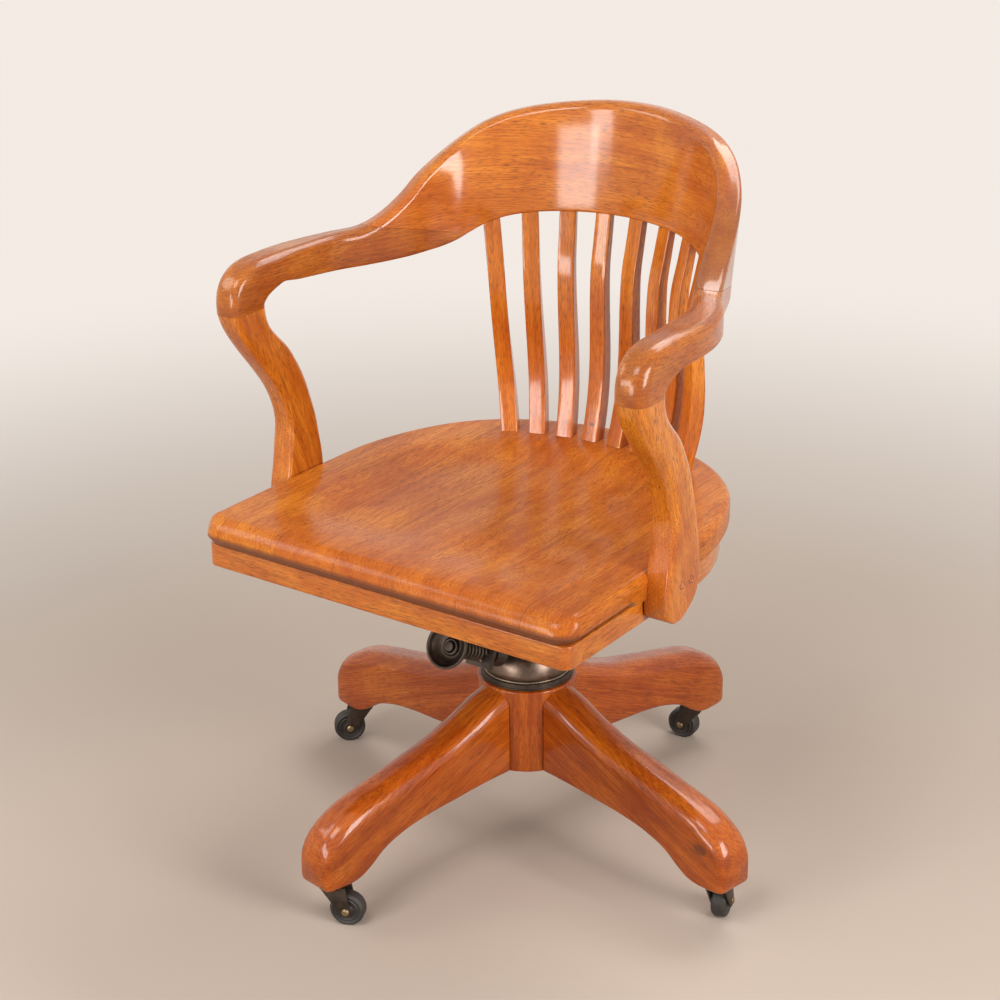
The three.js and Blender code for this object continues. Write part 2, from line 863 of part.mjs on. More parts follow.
function postGeometry() {
  const rings = postProfileShares.map(({ up, front, back, flare, round }) => {
    const y0 = postFootY - postSweep * front;
    const y1 = postFootY + postDepth * back;
    const outer = postTopRound * round;
    const inner = postInnerRound * round;
    const middle = postMiddle + postSplay * flare;
    const half = lerp(postThickness, postTopThickness, flare) / 2;
    return roundedSection({
      inner: middle - half,
      outer: middle + half,
      low: y0,
      high: y1,
      corners: [
        [inner, inner],
        [outer, outer],
        [outer, outer],
        [inner, inner],
      ],
      steps: [2, 3, 3, 2],
    }).map((p) => v3(p.x, p.y, postBottom + postHeight * up));
  });
  return loft(rings);
}
const leftPost = postGeometry();
const sidePosts = { left: leftPost, right: mirrored(leftPost) };

// Plugs over the post's screws, on its outer face.
const plugZ = postBottom + plugHeight;
const plugYs = [-1, 1].map((side) => postFootY + postDepth * 0.8 + (side * plugSpacing) / 2);
const plugShape = (y, radius, from, to) => bar(radius, v3(from, y, plugZ), v3(to, y, plugZ), 10);
for (const [side, geometry] of Object.entries(sidePosts)) {
  const face = (shape) => (side === "left" ? shape : mirrored(shape));
  const holes = plugYs.map((y) =>
    solid(face(plugShape(y, plugRadius + fitGap, postOuter - plugDepth - fitGap, postOuter + overrun))),
  );
  node(`arm_post_${side}`, oak, cut(solid(geometry), ...holes), chair);
  plugYs.forEach((y, k) => {
    const head = turned(
      [
        [0, 0],
        [plugRadius, 0],
        [plugRadius, plugDepth],
        [plugRadius * 0.7, plugDepth + plugProud],
        [0, plugDepth + plugProud],
      ],
      v3(postOuter - plugDepth, y, plugZ),
      X,
      10,
    );
    node(`post_plug_${side}_${k + 1}`, oak, solid(face(head)), chair);
  });
}

// The board is notched for the posts.
const shifted = (geometry, x, y, z) => geometry.clone().translate(x, y, z);
const postNotches = [-1, 1].flatMap((side) => {
  const geometry = side > 0 ? sidePosts.left : sidePosts.right;
  return [-fitGap, fitGap].map((dy) => solid(shifted(geometry, -side * fitGap, dy, 0)));
});
node("seat_board", oak, cut(seatBoard(), ...postNotches), chair);

// Rails under the board.
const railTop = seatBottom - fitGap;
const railBottom = railTop - railHeight;
function upright(shape, z0, z1, segments = 12) {
  return new THREE.ExtrudeGeometry(shape, {
    depth: z1 - z0,
    bevelEnabled: false,
    curveSegments: segments,
  }).translate(0, 0, z0);
}
const frontRailY = -seatFront + frontRailSetback;
const frontRailBack = frontRailY + frontRailThickness;
const frontRail = new THREE.Shape();
frontRail.moveTo(-railHalf, frontRailBack);
frontRail.lineTo(-railHalf, frontRailY + railCornerRadius);
frontRail.absarc(-railHalf + railCornerRadius, frontRailY + railCornerRadius, railCornerRadius, Math.PI, Math.PI * 1.5);
frontRail.lineTo(railHalf - railCornerRadius, frontRailY);
frontRail.absarc(railHalf - railCornerRadius, frontRailY + railCornerRadius, railCornerRadius, -Math.PI / 2, 0);
frontRail.lineTo(railHalf, frontRailBack);
node("front_rail", oak, solid(upright(frontRail, railBottom, railTop, 5)), chair);

const railInner = railHalf - railThickness;
const railArcY = -railArcForward;
const sideRail = box(railInner, railHalf, frontRailBack + fitGap, railArcY - fitGap / 2, railBottom, railTop);
node("side_rail_left", oak, solid(sideRail), chair);
node("side_rail_right", oak, solid(mirrored(sideRail)), chair);
const backRail = new THREE.Shape();
backRail.absarc(0, 0, railHalf, 0, Math.PI);
backRail.absarc(0, 0, railInner, Math.PI, 0, true);
node(
  "back_rail",
  oak,
  solid(upright(backRail, railBottom, railTop, 20).translate(0, railArcY + fitGap / 2, 0)),
  chair,
);

const battenBottom = railTop - battenHeight;
const chordHalf = (y) => (y <= railArcY ? railInner : Math.sqrt(railInner ** 2 - (y - railArcY) ** 2));
for (const [name, y] of [
  ["front_batten", frontBattenY],
  ["rear_batten", rearBattenY],
]) {
  const half = chordHalf(y + battenWidth / 2) * Math.cos(Math.PI / 40) - fitGap;
  node(name, oak, solid(box(-half, half, y - battenWidth / 2, y + battenWidth / 2, battenBottom, railTop)), chair);
}

// Seat iron: straps under the battens, a plate, two cheeks on the pivot and the slotted front lug.
const ironTop = battenBottom - fitGap;
const ironBottom = ironTop - ironThickness;
const cheekInner = yokeBossHalf + fitGap;
const cheekOuter = cheekInner + cheekThickness;
const cheekOutline = [
  [pivot.y + cheekTopHalf, ironTop - ironThickness / 2],
  [pivot.y - cheekTopHalf, ironTop - ironThickness / 2],
  ...arcPoints(pivot.y, pivot.z, cheekEyeRadius, Math.PI, 2 * Math.PI, 8),
];
const lugTopY = onTension(0, lugFoot).y - lugThickness;
const lugOutline = [
  yz(onTension(-lugThickness, -lugFoot)),
  yz(onTension(0, -lugFoot)),
  yz(onTension(0, lugFoot)),
  [lugTopY - lugThickness / 2, ironTop - ironThickness / 2],
  [lugTopY + lugThickness, ironTop - ironThickness / 2],
  yz(onTension(-lugThickness, lugFoot * 0.8)),
];
const slotRadius = rodRadius + 2 * fitGap;
const slotTool = join(
  solid(bar(slotRadius, onTension(-lugThickness - overrun, -slotUnder), onTension(overrun, -slotUnder), 16)),
  solid(bar(slotRadius, onTension(-lugThickness - overrun, slotOver), onTension(overrun, slotOver), 16)),
  solid(
    plateYZ(
      [
        yz(onTension(-lugThickness - overrun, -slotUnder)),
        yz(onTension(overrun, -slotUnder)),
        yz(onTension(overrun, slotOver)),
        yz(onTension(-lugThickness - overrun, slotOver)),
      ],
      -slotRadius,
      slotRadius,
    ),
  ),
);
const ironBody = join(
  solid(box(-strapSpread, strapSpread, -ironPlateFront, ironPlateRear, ironBottom, ironTop)),
  ...[-1, 1].map((side) =>
    solid(
      box(
        side * strapSpread - strapWidth / 2,
        side * strapSpread + strapWidth / 2,
        -strapFront,
        strapRear,
        ironBottom,
        ironTop,
      ),
    ),
  ),
  solid(plateYZ(cheekOutline, cheekInner, cheekOuter)),
  solid(plateYZ(cheekOutline, -cheekOuter, -cheekInner)),
  solid(plateYZ(lugOutline, -lugHalfWidth, lugHalfWidth)),
);
node("seat_iron", iron, cut(ironBody, solid(pinTool), slotTool), chair);

// Bow of crest and arms: one swept form, from knee to knee, parted on two scarf planes.
const bowPlanShares = [
  { turn: 0 },
  { turn: 0.09 },
  { turn: 0.18 },
  { turn: 0.27 },
  { turn: 0.35 },
  { turn: 0.43 },
  { turn: 0.5 },
  { turn: 0.56 },
  { turn: 0.615 },
  { turn: 0.67 },
  { turn: 0.73 },
  { turn: 0.79 },
  { out: 0.28, ahead: 0.05 },
  { out: 0.68, ahead: 0.2 },
  { out: 0.9, ahead: 0.35 },
  { out: 1, ahead: 0.53 },
];
// For each of those: underside and crown as shares of the crest's height over its low edge, then shares of
// the arm's width, of the lean and of the arm's roll.
const bowFormShares = [
  { low: -0.011, high: 0.985, wide: 0, lean: 1, roll: 0 },
  { low: -0.013, high: 0.977, wide: 0, lean: 1, roll: 0 },
  { low: -0.02, high: 0.953, wide: 0, lean: 1, roll: 0 },
  { low: -0.031, high: 0.921, wide: 0, lean: 1, roll: 0 },
  { low: -0.048, high: 0.883, wide: 0, lean: 1, roll: 0 },
  { low: -0.076, high: 0.829, wide: 0, lean: 1, roll: 0.1 },
  { low: -0.12, high: 0.755, wide: 0, lean: 1, roll: 0.25 },
  { low: -0.18, high: 0.664, wide: 0.02, lean: 0.95, roll: 0.45 },
  { low: -0.238, high: 0.57, wide: 0.05, lean: 0.85, roll: 0.6 },
  { low: -0.272, high: 0.473, wide: 0.09, lean: 0.7, roll: 0.7 },
  { low: -0.287, high: 0.363, wide: 0.14, lean: 0.5, roll: 0.8 },
  { low: -0.294, high: 0.236, wide: 0.2, lean: 0.3, roll: 0.9 },
  { low: -0.299, high: 0.005, wide: 0.36, lean: 0, roll: 1 },
  { low: -0.3, high: -0.02, wide: 0.66, lean: 0, roll: 1 },
  { low: -0.299, high: -0.031, wide: 0.88, lean: 0, roll: 0.9 },
  { low: -0.296, high: -0.038, wide: 1, lean: 0, roll: 0.6 },
];
const crestLean = degToRad(7);
const crestBevelIn = 17;
const crestBevelDown = 11;
const crestBackRound = 5;
const armRound = 11;
const edgeEase = 3;
// Knee: inner and outer points of the bend, from the arm down to the joint.
const kneeShares = [
  { inY: 0.6, inZ: 0.4, outY: 0.64, outZ: 0.99, wide: 0.98 },
  { inY: 0.645, inZ: 0.34, outY: 0.77, outZ: 0.965, wide: 0.95 },
  { inY: 0.681, inZ: 0.27, outY: 0.868, outZ: 0.87, wide: 0.91 },
  { inY: 0.707, inZ: 0.2, outY: 0.94, outZ: 0.68, wide: 0.87 },
  { inY: 0.722, inZ: 0.13, outY: 0.976, outZ: 0.46, wide: 0.85 },
  { inY: 0.73, inZ: 0.065, outY: 0.988, outZ: 0.22, wide: 0.835 },
  { inY: 0.725, inZ: 0, outY: 0.987, outZ: 0, wide: 0.82 },
];

function bowStations() {
  const centreY = -bowCentreForward;
  const flareStart = bowRadius;
  const plan = bowPlanShares.map(({ turn, out, ahead }) =>
    turn === undefined
      ? v3(lerp(flareStart, armHalfSpan, out), -armReach * ahead + bowCentreForward, 0)
      : v3(bowRadius * Math.sin((turn * Math.PI) / 2), centreY + bowRadius * Math.cos((turn * Math.PI) / 2), 0),
  );
  const side = plan.map((p, k) => {
    const { low, high, wide, lean, roll } = bowFormShares[k];
    const before = k === 0 ? v3(-plan[1].x, plan[1].y, 0) : plan[k - 1];
    const after = plan[Math.min(k + 1, plan.length - 1)];
    const along = after.clone().sub(before).normalize();
    const outward = v3(-along.y, along.x, 0);
    const thick = lerp(crestThickness, armWidth, wide);
    const tilt = crestLean * lean;
    const bottom = crestLow + crestHeight * low;
    const top = crestLow + crestHeight * high;
    const bevel = THREE.MathUtils.clamp(wide, 0, 1);
    const ring = roundedSection({
      inner: -thick / 2,
      outer: thick / 2,
      low: 0,
      high: (top - bottom) / Math.cos(tilt),
      corners: [
        [edgeEase, edgeEase],
        [edgeEase, edgeEase],
        [lerp(crestBackRound, armRound, bevel), lerp(crestBackRound, armRound, bevel)],
        [lerp(crestBevelIn, armRound, bevel), lerp(crestBevelDown, armRound, bevel)],
      ],
      steps: [2, 2, 3, 3],
    });
    return ring.map(({ x, y }) => {
      const out = x / thick + 0.5;
      const up = (y * Math.cos(tilt)) / (top - bottom);
      const sink = roll * (armBelly * (1 - out) * (1 - up) + armRoll * out * up);
      return v3(p.x, p.y, bottom - sink)
        .addScaledVector(outward, x * Math.cos(tilt) + y * Math.sin(tilt))
        .addScaledVector(Z, y * Math.cos(tilt) - x * Math.sin(tilt));
    });
  });
  const knee = kneeShares.map(({ inY, inZ, outY, outZ, wide }, k) => {
    const inside = new THREE.Vector2(-armReach * inY, kneeJointZ + kneeDrop * inZ);
    const outside = new THREE.Vector2(-armReach * outY, kneeJointZ + kneeDrop * outZ);
    const half = (armWidth / 2) * wide;
    const height = outside.distanceTo(inside);
    const up = outside.clone().sub(inside).normalize();
    const down = k / (kneeShares.length - 1);
    const shift = lerp(armHalfSpan, postMiddle + postSplay, down);
    const blend = (from, to) => Array(2).fill(lerp(from, to, down));
    return roundedSection({
      inner: -half,
      outer: half,
      low: 0,
      high: height,
      corners: [
        blend(edgeEase, postInnerRound),
        blend(edgeEase, postTopRound),
        blend(postTopRound, postTopRound),
        blend(postTopRound, postInnerRound),
      ],
      steps: [2, 2, 3, 3],
    }).map(({ x, y }) => v3(shift + x, inside.x + up.x * y, inside.y + up.y * y));
  });
  return [...side, ...knee];
}

const halfBow = bowStations();
const mirrorRing = (ring) => ring.map((p) => v3(-p.x, p.y, p.z));
const bow = solid(loft([...halfBow.slice(1).reverse().map(mirrorRing), ...halfBow]));

// Scarf planes fall to the back from the arm's top.
const scarfBig = 4 * armHalfSpan;
function scarfHalf(side) {
  const offset = side > 0 ? fitGap / 2 : -fitGap / 2;
  const slab = box(-scarfBig, scarfBig, -scarfBig, scarfBig, 0, side * scarfBig);
  return solid(
    (side > 0 ? slab : box(-scarfBig, scarfBig, -scarfBig, scarfBig, -scarfBig, 0))
      .translate(0, 0, offset)
      .rotateX(-scarfFall)
      .translate(0, scarfTopY, scarfTopZ),
  );
}
const sideBox = (side) =>
  solid(
    side > 0
      ? box(armHalfSpan / 2, scarfBig, -scarfBig, scarfReachBack, 0, scarfBig)
      : box(-scarfBig, -armHalfSpan / 2, -scarfBig, scarfReachBack, 0, scarfBig),
  );
const crest = bow.intersect(scarfHalf(1));
node("crest_rail", oak, crest, chair);
node("arm_left", oak, bow.intersect(scarfHalf(-1)).intersect(sideBox(1)), chair);
node("arm_right", oak, bow.intersect(scarfHalf(-1)).intersect(sideBox(-1)), chair);

// Slats: sawn with a swell for the lumbar, deeper at the foot, fanned along the bow.
const slatCurveShares = [
  { up: 0, push: 0, deep: 1.22 },
  { up: 0.1, push: 0.5, deep: 1.2 },
  { up: 0.22, push: 0.86, deep: 1.14 },
  { up: 0.36, push: 0.72, deep: 1.06 },
  { up: 0.5, push: 0.2, deep: 0.98 },
  { up: 0.64, push: -0.38, deep: 0.9 },
  { up: 0.78, push: -0.66, deep: 0.78 },
  { up: 0.9, push: -0.36, deep: 0.68 },
  { up: 1.06, push: 0, deep: 0.6 },
];
const crestInnerFoot = bowRadius - crestThickness / 2;
const crestDropped = solid(geometryOf(crest).translate(0, 0, -fitGap));
function slatSolid(k) {
  const place = k - (slatCount - 1) / 2;
  const footTurn = place * slatFootSpread;
  const foot = v3(
    slatArcRadius * Math.sin(footTurn),
    slatArcY - slatArcRadius * (1 - Math.cos(footTurn)),
    seatTop + fitGap,
  );
  const headRadius = crestInnerFoot + slatHeadSetback;
  const headTurn = place * slatHeadSpread;
  const head = v3(
    headRadius * Math.sin(headTurn),
    headRadius * Math.cos(headTurn) - bowCentreForward,
    crestLow + crestHeight * slatHeadRise(headTurn),
  );
  const rings = slatCurveShares.map(({ up, push, deep }) => {
    const turn = lerp(footTurn, headTurn, up);
    const outward = v3(Math.sin(turn), Math.cos(turn), 0);
    const side = v3(Math.cos(turn), -Math.sin(turn), 0);
    const spot = foot.clone().lerp(head, up).addScaledVector(outward, slatBow * push);
    const depth = slatFootDepth * deep;
    return roundedSection({
      inner: -slatWidth / 2,
      outer: slatWidth / 2,
      low: 0,
      high: depth,
      corners: [
        [slatEdge, slatEdge],
        [slatEdge, slatEdge],
        [slatEdge, slatEdge],
        [slatEdge, slatEdge],
      ],
      steps: [1, 1, 1, 1],
    }).map(({ x, y }) => spot.clone().addScaledVector(side, x).addScaledVector(outward, y));
  });
  return solid(loft(rings)).subtract(crestDropped);
}
function slatHeadRise(turn) {
  const share = Math.abs(turn) / (Math.PI / 2);
  const k = Math.max(1, bowPlanShares.findIndex((row) => row.turn >= share));
  const [a, b] = [bowPlanShares[k - 1].turn, bowPlanShares[k].turn];
  return lerp(bowFormShares[k - 1].low, bowFormShares[k].low, (share - a) / (b - a));
}
for (let k = 0; k < slatCount; k++) node(`slat_${k + 1}`, oak, slatSolid(k), chair);

// Casters: socket in the leg's foot, fork with its stem, wheel, axle rivet.
const plateTop = footHeight - fitGap;
const plateBottom = plateTop - socketPlateThickness;
const socketBore = stemRadius + fitGap;
const socketTop = footHeight + socketDepth;
const crownTop = plateBottom - fitGap;
const stemTop = socketTop - forkThickness - stemEndGap;
const forkInner = wheelWidth / 2 + forkClearance;
const forkOuter = forkInner + forkThickness;
const wheelCrownGap = crownTop - crownHeight;

function casterSocket() {
  return solid(
    turned(
      [
        [0, socketTop],
        [socketTubeRadius, socketTop],
        [socketTubeRadius, plateTop],
        [socketPlateRadius, plateTop],
        [socketPlateRadius, plateBottom],
        [socketBore, plateBottom],
        [socketBore, socketTop - forkThickness],
        [0, socketTop - forkThickness],
      ],
      v3(0, 0, 0),
      Z,
      14,
    ),
  );
}

function casterFork() {
  const crownSolid = solid(
    turned(
      [
        [0, wheelCrownGap],
        [crownRadius * 0.8, wheelCrownGap],
        [crownRadius, wheelCrownGap + crownHeight / 2],
        [crownRadius, crownTop],
        [stemRadius, crownTop],
        [stemRadius, stemTop],
        [0, stemTop],
      ],
      v3(0, 0, 0),
      Z,
      14,
    ),
  );
  const outline = [
    [-crownRadius * 0.9, crownTop - crownHeight * 0.1],
    ...arcPoints(casterTrail, wheelRadius, forkEyeRadius, (-Math.PI * 3) / 4, Math.PI / 4, 5),
    [crownRadius * 1.35, crownTop - crownHeight * 0.1],
  ];
  const arms = [-1, 1].map((side) => {
    const [x0, x1] = side > 0 ? [forkInner, forkOuter] : [-forkOuter, -forkInner];
    return solid(plateYZ(outline, x0, x1));
  });
  const bridge = solid(
    box(-forkOuter, forkOuter, -crownRadius * 0.8, crownRadius * 0.95, crownTop - crownHeight * 0.75, crownTop),
  );
  const axleTool = solid(
    bar(
      axleRadius + fitGap,
      v3(-forkOuter - overrun, casterTrail, wheelRadius),
      v3(forkOuter + overrun, casterTrail, wheelRadius),
      10,
    ),
  );
  const wheelTool = solid(
    bar(
      wheelRadius + 2 * forkClearance,
      v3(-forkInner, casterTrail, wheelRadius),
      v3(forkInner, casterTrail, wheelRadius),
      24,
    ),
  );
  return cut(join(crownSolid, bridge, ...arms), wheelTool, axleTool);
}

function casterWheel() {
  const half = wheelWidth / 2;
  const bore = axleRadius + fitGap;
  const face = half - wheelFaceDish;
  return solid(
    turned(
      [
        [bore, -half],
        [wheelHubRadius, -half],
        [wheelHubRadius * 1.15, -face],
        [wheelBeadRadius * 0.88, -face],
        [wheelBeadRadius, -half],
        [wheelBeadRadius * 1.12, -face],
        [wheelRadius - tyreRound, -half],
        [wheelRadius, -half + tyreRound],
        [wheelRadius, half - tyreRound],
        [wheelRadius - tyreRound, half],
        [wheelBeadRadius * 1.12, face],
        [wheelBeadRadius, half],
        [wheelBeadRadius * 0.88, face],
        [wheelHubRadius * 1.15, face],
        [wheelHubRadius, half],
        [bore, half],
        [bore, -half],
      ],
      v3(0, casterTrail, wheelRadius),
      X,
      18,
    ),
  );
}

function casterAxle() {
  const head = forkOuter + fitGap;
  return solid(
    turned(
      [
        [0, -head - axleHeadThickness],
        [axleHeadRadius * 0.6, -head - axleHeadThickness],
        [axleHeadRadius, -head],
        [axleRadius, -head],
        [axleRadius, head],
        [axleHeadRadius, head],
        [axleHeadRadius * 0.6, head + axleHeadThickness],
        [0, head + axleHeadThickness],
      ],
      v3(0, casterTrail, wheelRadius),
      X,
      10,
    ),
  );
}

const casterBodies = { socket: casterSocket(), fork: casterFork(), wheel: casterWheel(), axle: casterAxle() };
legTurns.forEach((turn, k) => {
  const seatOfCaster = new THREE.Group();
  seatOfCaster.position.set(casterReach * Math.cos(turn + baseYaw), casterReach * Math.sin(turn + baseYaw), 0);
  chair.add(seatOfCaster);
  const swivel = new THREE.Group();
  swivel.rotation.z = casterYaws[k] - Math.PI / 2;
  seatOfCaster.add(swivel);
  node(`caster_socket_${k + 1}`, iron, casterBodies.socket, seatOfCaster);
  node(`caster_fork_${k + 1}`, iron, casterBodies.fork, swivel);
  node(`caster_wheel_${k + 1}`, tyre, casterBodies.wheel, swivel);
  node(`caster_axle_${k + 1}`, brass, casterBodies.axle, swivel);
});

export default chair;
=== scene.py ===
import bpy
import bmesh
from math import sin, cos, pi, radians, hypot, sqrt, atan2, exp
from mathutils import Vector, Matrix


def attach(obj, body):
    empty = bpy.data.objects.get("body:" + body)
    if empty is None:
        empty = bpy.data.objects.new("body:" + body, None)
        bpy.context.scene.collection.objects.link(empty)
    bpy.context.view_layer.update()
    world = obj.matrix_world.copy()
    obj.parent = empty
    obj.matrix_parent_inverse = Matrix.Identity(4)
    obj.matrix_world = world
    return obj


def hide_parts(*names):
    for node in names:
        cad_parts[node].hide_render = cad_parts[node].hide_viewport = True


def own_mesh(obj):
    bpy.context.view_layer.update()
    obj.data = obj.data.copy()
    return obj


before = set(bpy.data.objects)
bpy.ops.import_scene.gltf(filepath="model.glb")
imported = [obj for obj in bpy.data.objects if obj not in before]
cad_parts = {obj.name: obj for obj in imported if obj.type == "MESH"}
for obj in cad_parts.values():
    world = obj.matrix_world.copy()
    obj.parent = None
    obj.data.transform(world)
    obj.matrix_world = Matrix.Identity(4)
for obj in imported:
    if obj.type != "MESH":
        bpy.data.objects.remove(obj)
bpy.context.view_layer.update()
scene = bpy.context.scene
print("frame loaded:", len(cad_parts), "nodes")

toMetres = 0.001
gap = 0.3  # clearance between neighbouring pieces, millimetres


def mix(a, b, t):
    return a + (b - a) * t


def smooth(t):
    t = min(max(t, 0.0), 1.0)
    return t * t * (3 - 2 * t)


# smooth curve through rows of numbers, with more rows in between; marks are the rows' places along it
def refine(rows, per, marks=None):
    marks = marks or [row[0] for row in rows]
    steps = [b - a for a, b in zip(marks, marks[1:])]
    slopes = [[(b - a) / h for a, b in zip(p, q)] for p, q, h in zip(rows, rows[1:], steps)]
    turns = [slopes[0]]
    for i in range(1, len(rows) - 1):
        near, far = steps[i - 1], steps[i]
        turns.append([(a * far + b * near) / (near + far) for a, b in zip(slopes[i - 1], slopes[i])])
    turns.append(slopes[-1])
    fine = []
    for i, h in enumerate(steps):
        for k in range(per):
            t = k / per
            fine.append([p * (2 * t ** 3 - 3 * t * t + 1) + q * (3 * t * t - 2 * t ** 3)
                         + h * (m * (t ** 3 - 2 * t * t + t) + n * (t ** 3 - t * t))
                         for p, q, m, n in zip(rows[i], rows[i + 1], turns[i], turns[i + 1])])
    return fine + [list(rows[-1])]


# the same for whole rings, each point a row of seven numbers: place, grain, tone
def refineRings(rings, per, marks):
    flat = [[n for row in ring for n in row] for ring in rings]
    return [[row[i:i + 7] for i in range(0, len(row), 7)] for row in refine(flat, per, marks)]


# rectangle with elliptic corners, from its low inner corner round by the outer side
def roundedSection(inner, outer, low, high, corners, steps, flats=1):
    wide, tall = (outer - inner) / 2, (high - low) / 2
    spots = [(inner, low, 1, 1, pi), (outer, low, -1, 1, -pi / 2),
             (outer, high, -1, -1, 0), (inner, high, 1, -1, pi / 2)]
    arcs = []
    for (x, y, sx, sy, start), (rx, ry), count in zip(spots, corners, steps):
        rx, ry = min(rx, wide * 0.96), min(ry, tall * 0.96)
        arcs.append([(x + sx * rx + rx * cos(start + pi / 2 * k / count),
                      y + sy * ry + ry * sin(start + pi / 2 * k / count)) for k in range(count + 1)])
    points = []
    for k, arc in enumerate(arcs):
        (ax, ay), (bx, by) = arc[-1], arcs[(k + 1) % 4][0]
        points += arc + [(mix(ax, bx, j / flats), mix(ay, by, j / flats)) for j in range(1, flats)]
    return points


def newMesh():
    bm = bmesh.new()
    bm.verts.layers.float_vector.new("grain")
    bm.verts.layers.float.new("tone")
    return bm


def loopEdges(ring):
    return [next(e for e in v.link_edges if e.other_vert(v) is ring[(i + 1) % len(ring)])
            for i, v in enumerate(ring)]


# skin through rings of equal count: the first is a circle moved into place, the rest are extruded from it
def loft(rings):
    bm = newMesh()
    grain = bm.verts.layers.float_vector["grain"]
    tone = bm.verts.layers.float["tone"]
    ring = list(bmesh.ops.create_circle(bm, segments=len(rings[0]), radius=1)["verts"])
    edges = loopEdges(ring)

    def place(rows):
        for v, row in zip(ring, rows):
            v.co = row[:3]
            v[grain] = Vector(row[3:6]) * toMetres
            v[tone] = row[6]
    place(rings[0])
    bmesh.ops.contextual_create(bm, geom=edges)
    for rows in rings[1:]:
        made = bmesh.ops.extrude_edge_only(bm, edges=edges)["geom"]
        fresh = {g for g in made if isinstance(g, bmesh.types.BMVert)}
        ring = [next(e.other_vert(v) for e in v.link_edges if e.other_vert(v) in fresh) for v in ring]
        edges = loopEdges(ring)
        place(rows)
    bmesh.ops.contextual_create(bm, geom=edges)
    return bm


# turned piece: (radius, height) pairs spun about Z and stood on an axis; shut closes the profile
def lathe(bm, pairs, origin=(0, 0, 0), axis=(0, 0, 1), steps=64, shut=False):
    old = set(bm.verts)
    first = [bm.verts.new((r, 0, h)) for r, h in pairs]
    chain = [bm.edges.new(pair) for pair in zip(first, first[1:])]
    if shut:
        chain.append(bm.edges.new((first[-1], first[0])))
    bmesh.ops.spin(bm, geom=first + chain, cent=(0, 0, 0), axis=(0, 0, 1), dvec=(0, 0, 0),
                   angle=2 * pi, steps=steps, use_merge=True, use_duplicate=False)
    turn = Vector((0, 0, 1)).rotation_difference(Vector(axis)).to_matrix().to_4x4()
    made = [v for v in bm.verts if v not in old]
    bmesh.ops.remove_doubles(bm, verts=[v for v in made if hypot(v.co.x, v.co.y) < 0.01], dist=0.01)
    made = [v for v in bm.verts if v not in old]
    bmesh.ops.transform(bm, matrix=Matrix.Translation(origin) @ turn, verts=made)


# a turned profile with each corner drawn as a small arc
def eased(pairs, ease, count=3, shut=False):
    points = []
    last = len(pairs) - 1
    for i, (r, h) in enumerate(pairs):
        if i in (0, last) and not shut:
            points.append((r, h))
            continue
        here, before, after = Vector((r, h)), Vector(pairs[i - 1]), Vector(pairs[(i + 1) % len(pairs)])
        a, b = before - here, after - here
        size = min(ease, a.length * 0.45, b.length * 0.45)
        a, b = here + a.normalized() * size, here + b.normalized() * size
        for k in range(count + 1):
            t = k / count
            p = a * (1 - t) ** 2 + here * 2 * t * (1 - t) + b * t * t
            points.append((p.x, p.y))
    return points


def turned(pairs, ease, count=3, steps=64, shut=False, origin=(0, 0, 0), axis=(0, 0, 1)):
    bm = newMesh()
    lathe(bm, eased(pairs, ease, count, shut), origin, axis, steps, shut)
    return bm


# profile of a plain tube, or of a rod where inner is 0
def tubeProfile(inner, outer, low, high):
    return [(inner, low), (outer, low), (outer, high), (inner, high)]


# flat plate: an outline extruded, its rims rounded
def plate(bm, outline, along, ease=0.5, segments=2):
    verts = [bm.verts.new(p) for p in outline]
    face = bmesh.ops.contextual_create(bm, geom=verts)["faces"][0]
    made = bmesh.ops.extrude_face_region(bm, geom=[face])["geom"]
    moved = [g for g in made if isinstance(g, bmesh.types.BMVert)]
    bmesh.ops.translate(bm, verts=moved, vec=along)

    flat = Vector(along).normalized()
    rims = {e for v in verts + moved for e in v.link_edges
            if abs((e.verts[1].co - e.verts[0].co).normalized().dot(flat)) < 0.5}
    if ease:
        bmesh.ops.bevel(bm, geom=list(rims), offset=ease, offset_type="OFFSET", segments=segments,
                        profile=0.5, affect="EDGES", material=-1)


def block(bm, low, high, ease=1.5, segments=3):
    made = bmesh.ops.create_cube(bm, size=1)["verts"]
    bmesh.ops.scale(bm, vec=[h - l for l, h in zip(low, high)], verts=made)
    bmesh.ops.translate(bm, vec=[(h + l) / 2 for l, h in zip(low, high)], verts=made)
    bmesh.ops.bevel(bm, geom=list({e for v in made for e in v.link_edges}), offset=ease,
                    offset_type="OFFSET", segments=segments, profile=0.5, affect="EDGES", material=-1)


def finishPiece(bm, name, body, nodes, material, sharp=38, grainFrom=None, toneFrom=None):
    bmesh.ops.remove_doubles(bm, verts=bm.verts, dist=0.003)
    bmesh.ops.recalc_face_normals(bm, faces=bm.faces)
    grain = bm.verts.layers.float_vector["grain"]
    tone = bm.verts.layers.float["tone"]
    for v in bm.verts:
        if grainFrom:
            v[grain] = Vector(grainFrom(v.co)) * toMetres
        if toneFrom:
            v[tone] = toneFrom(v.co)
    for f in bm.faces:
        f.smooth = True
    for e in bm.edges:
        if len(e.link_faces) == 2 and e.calc_face_angle(0) > radians(sharp):
            e.smooth = False
    bmesh.ops.scale(bm, vec=(toMetres,) * 3, verts=bm.verts)
    mesh = bpy.data.meshes.new(name)
    bm.to_mesh(mesh)
    bm.free()
    piece = bpy.data.objects.new(name, mesh)
    scene.collection.objects.link(piece)
    mesh.materials.append(material)
    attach(piece, body)
    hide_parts(*nodes)
    return piece


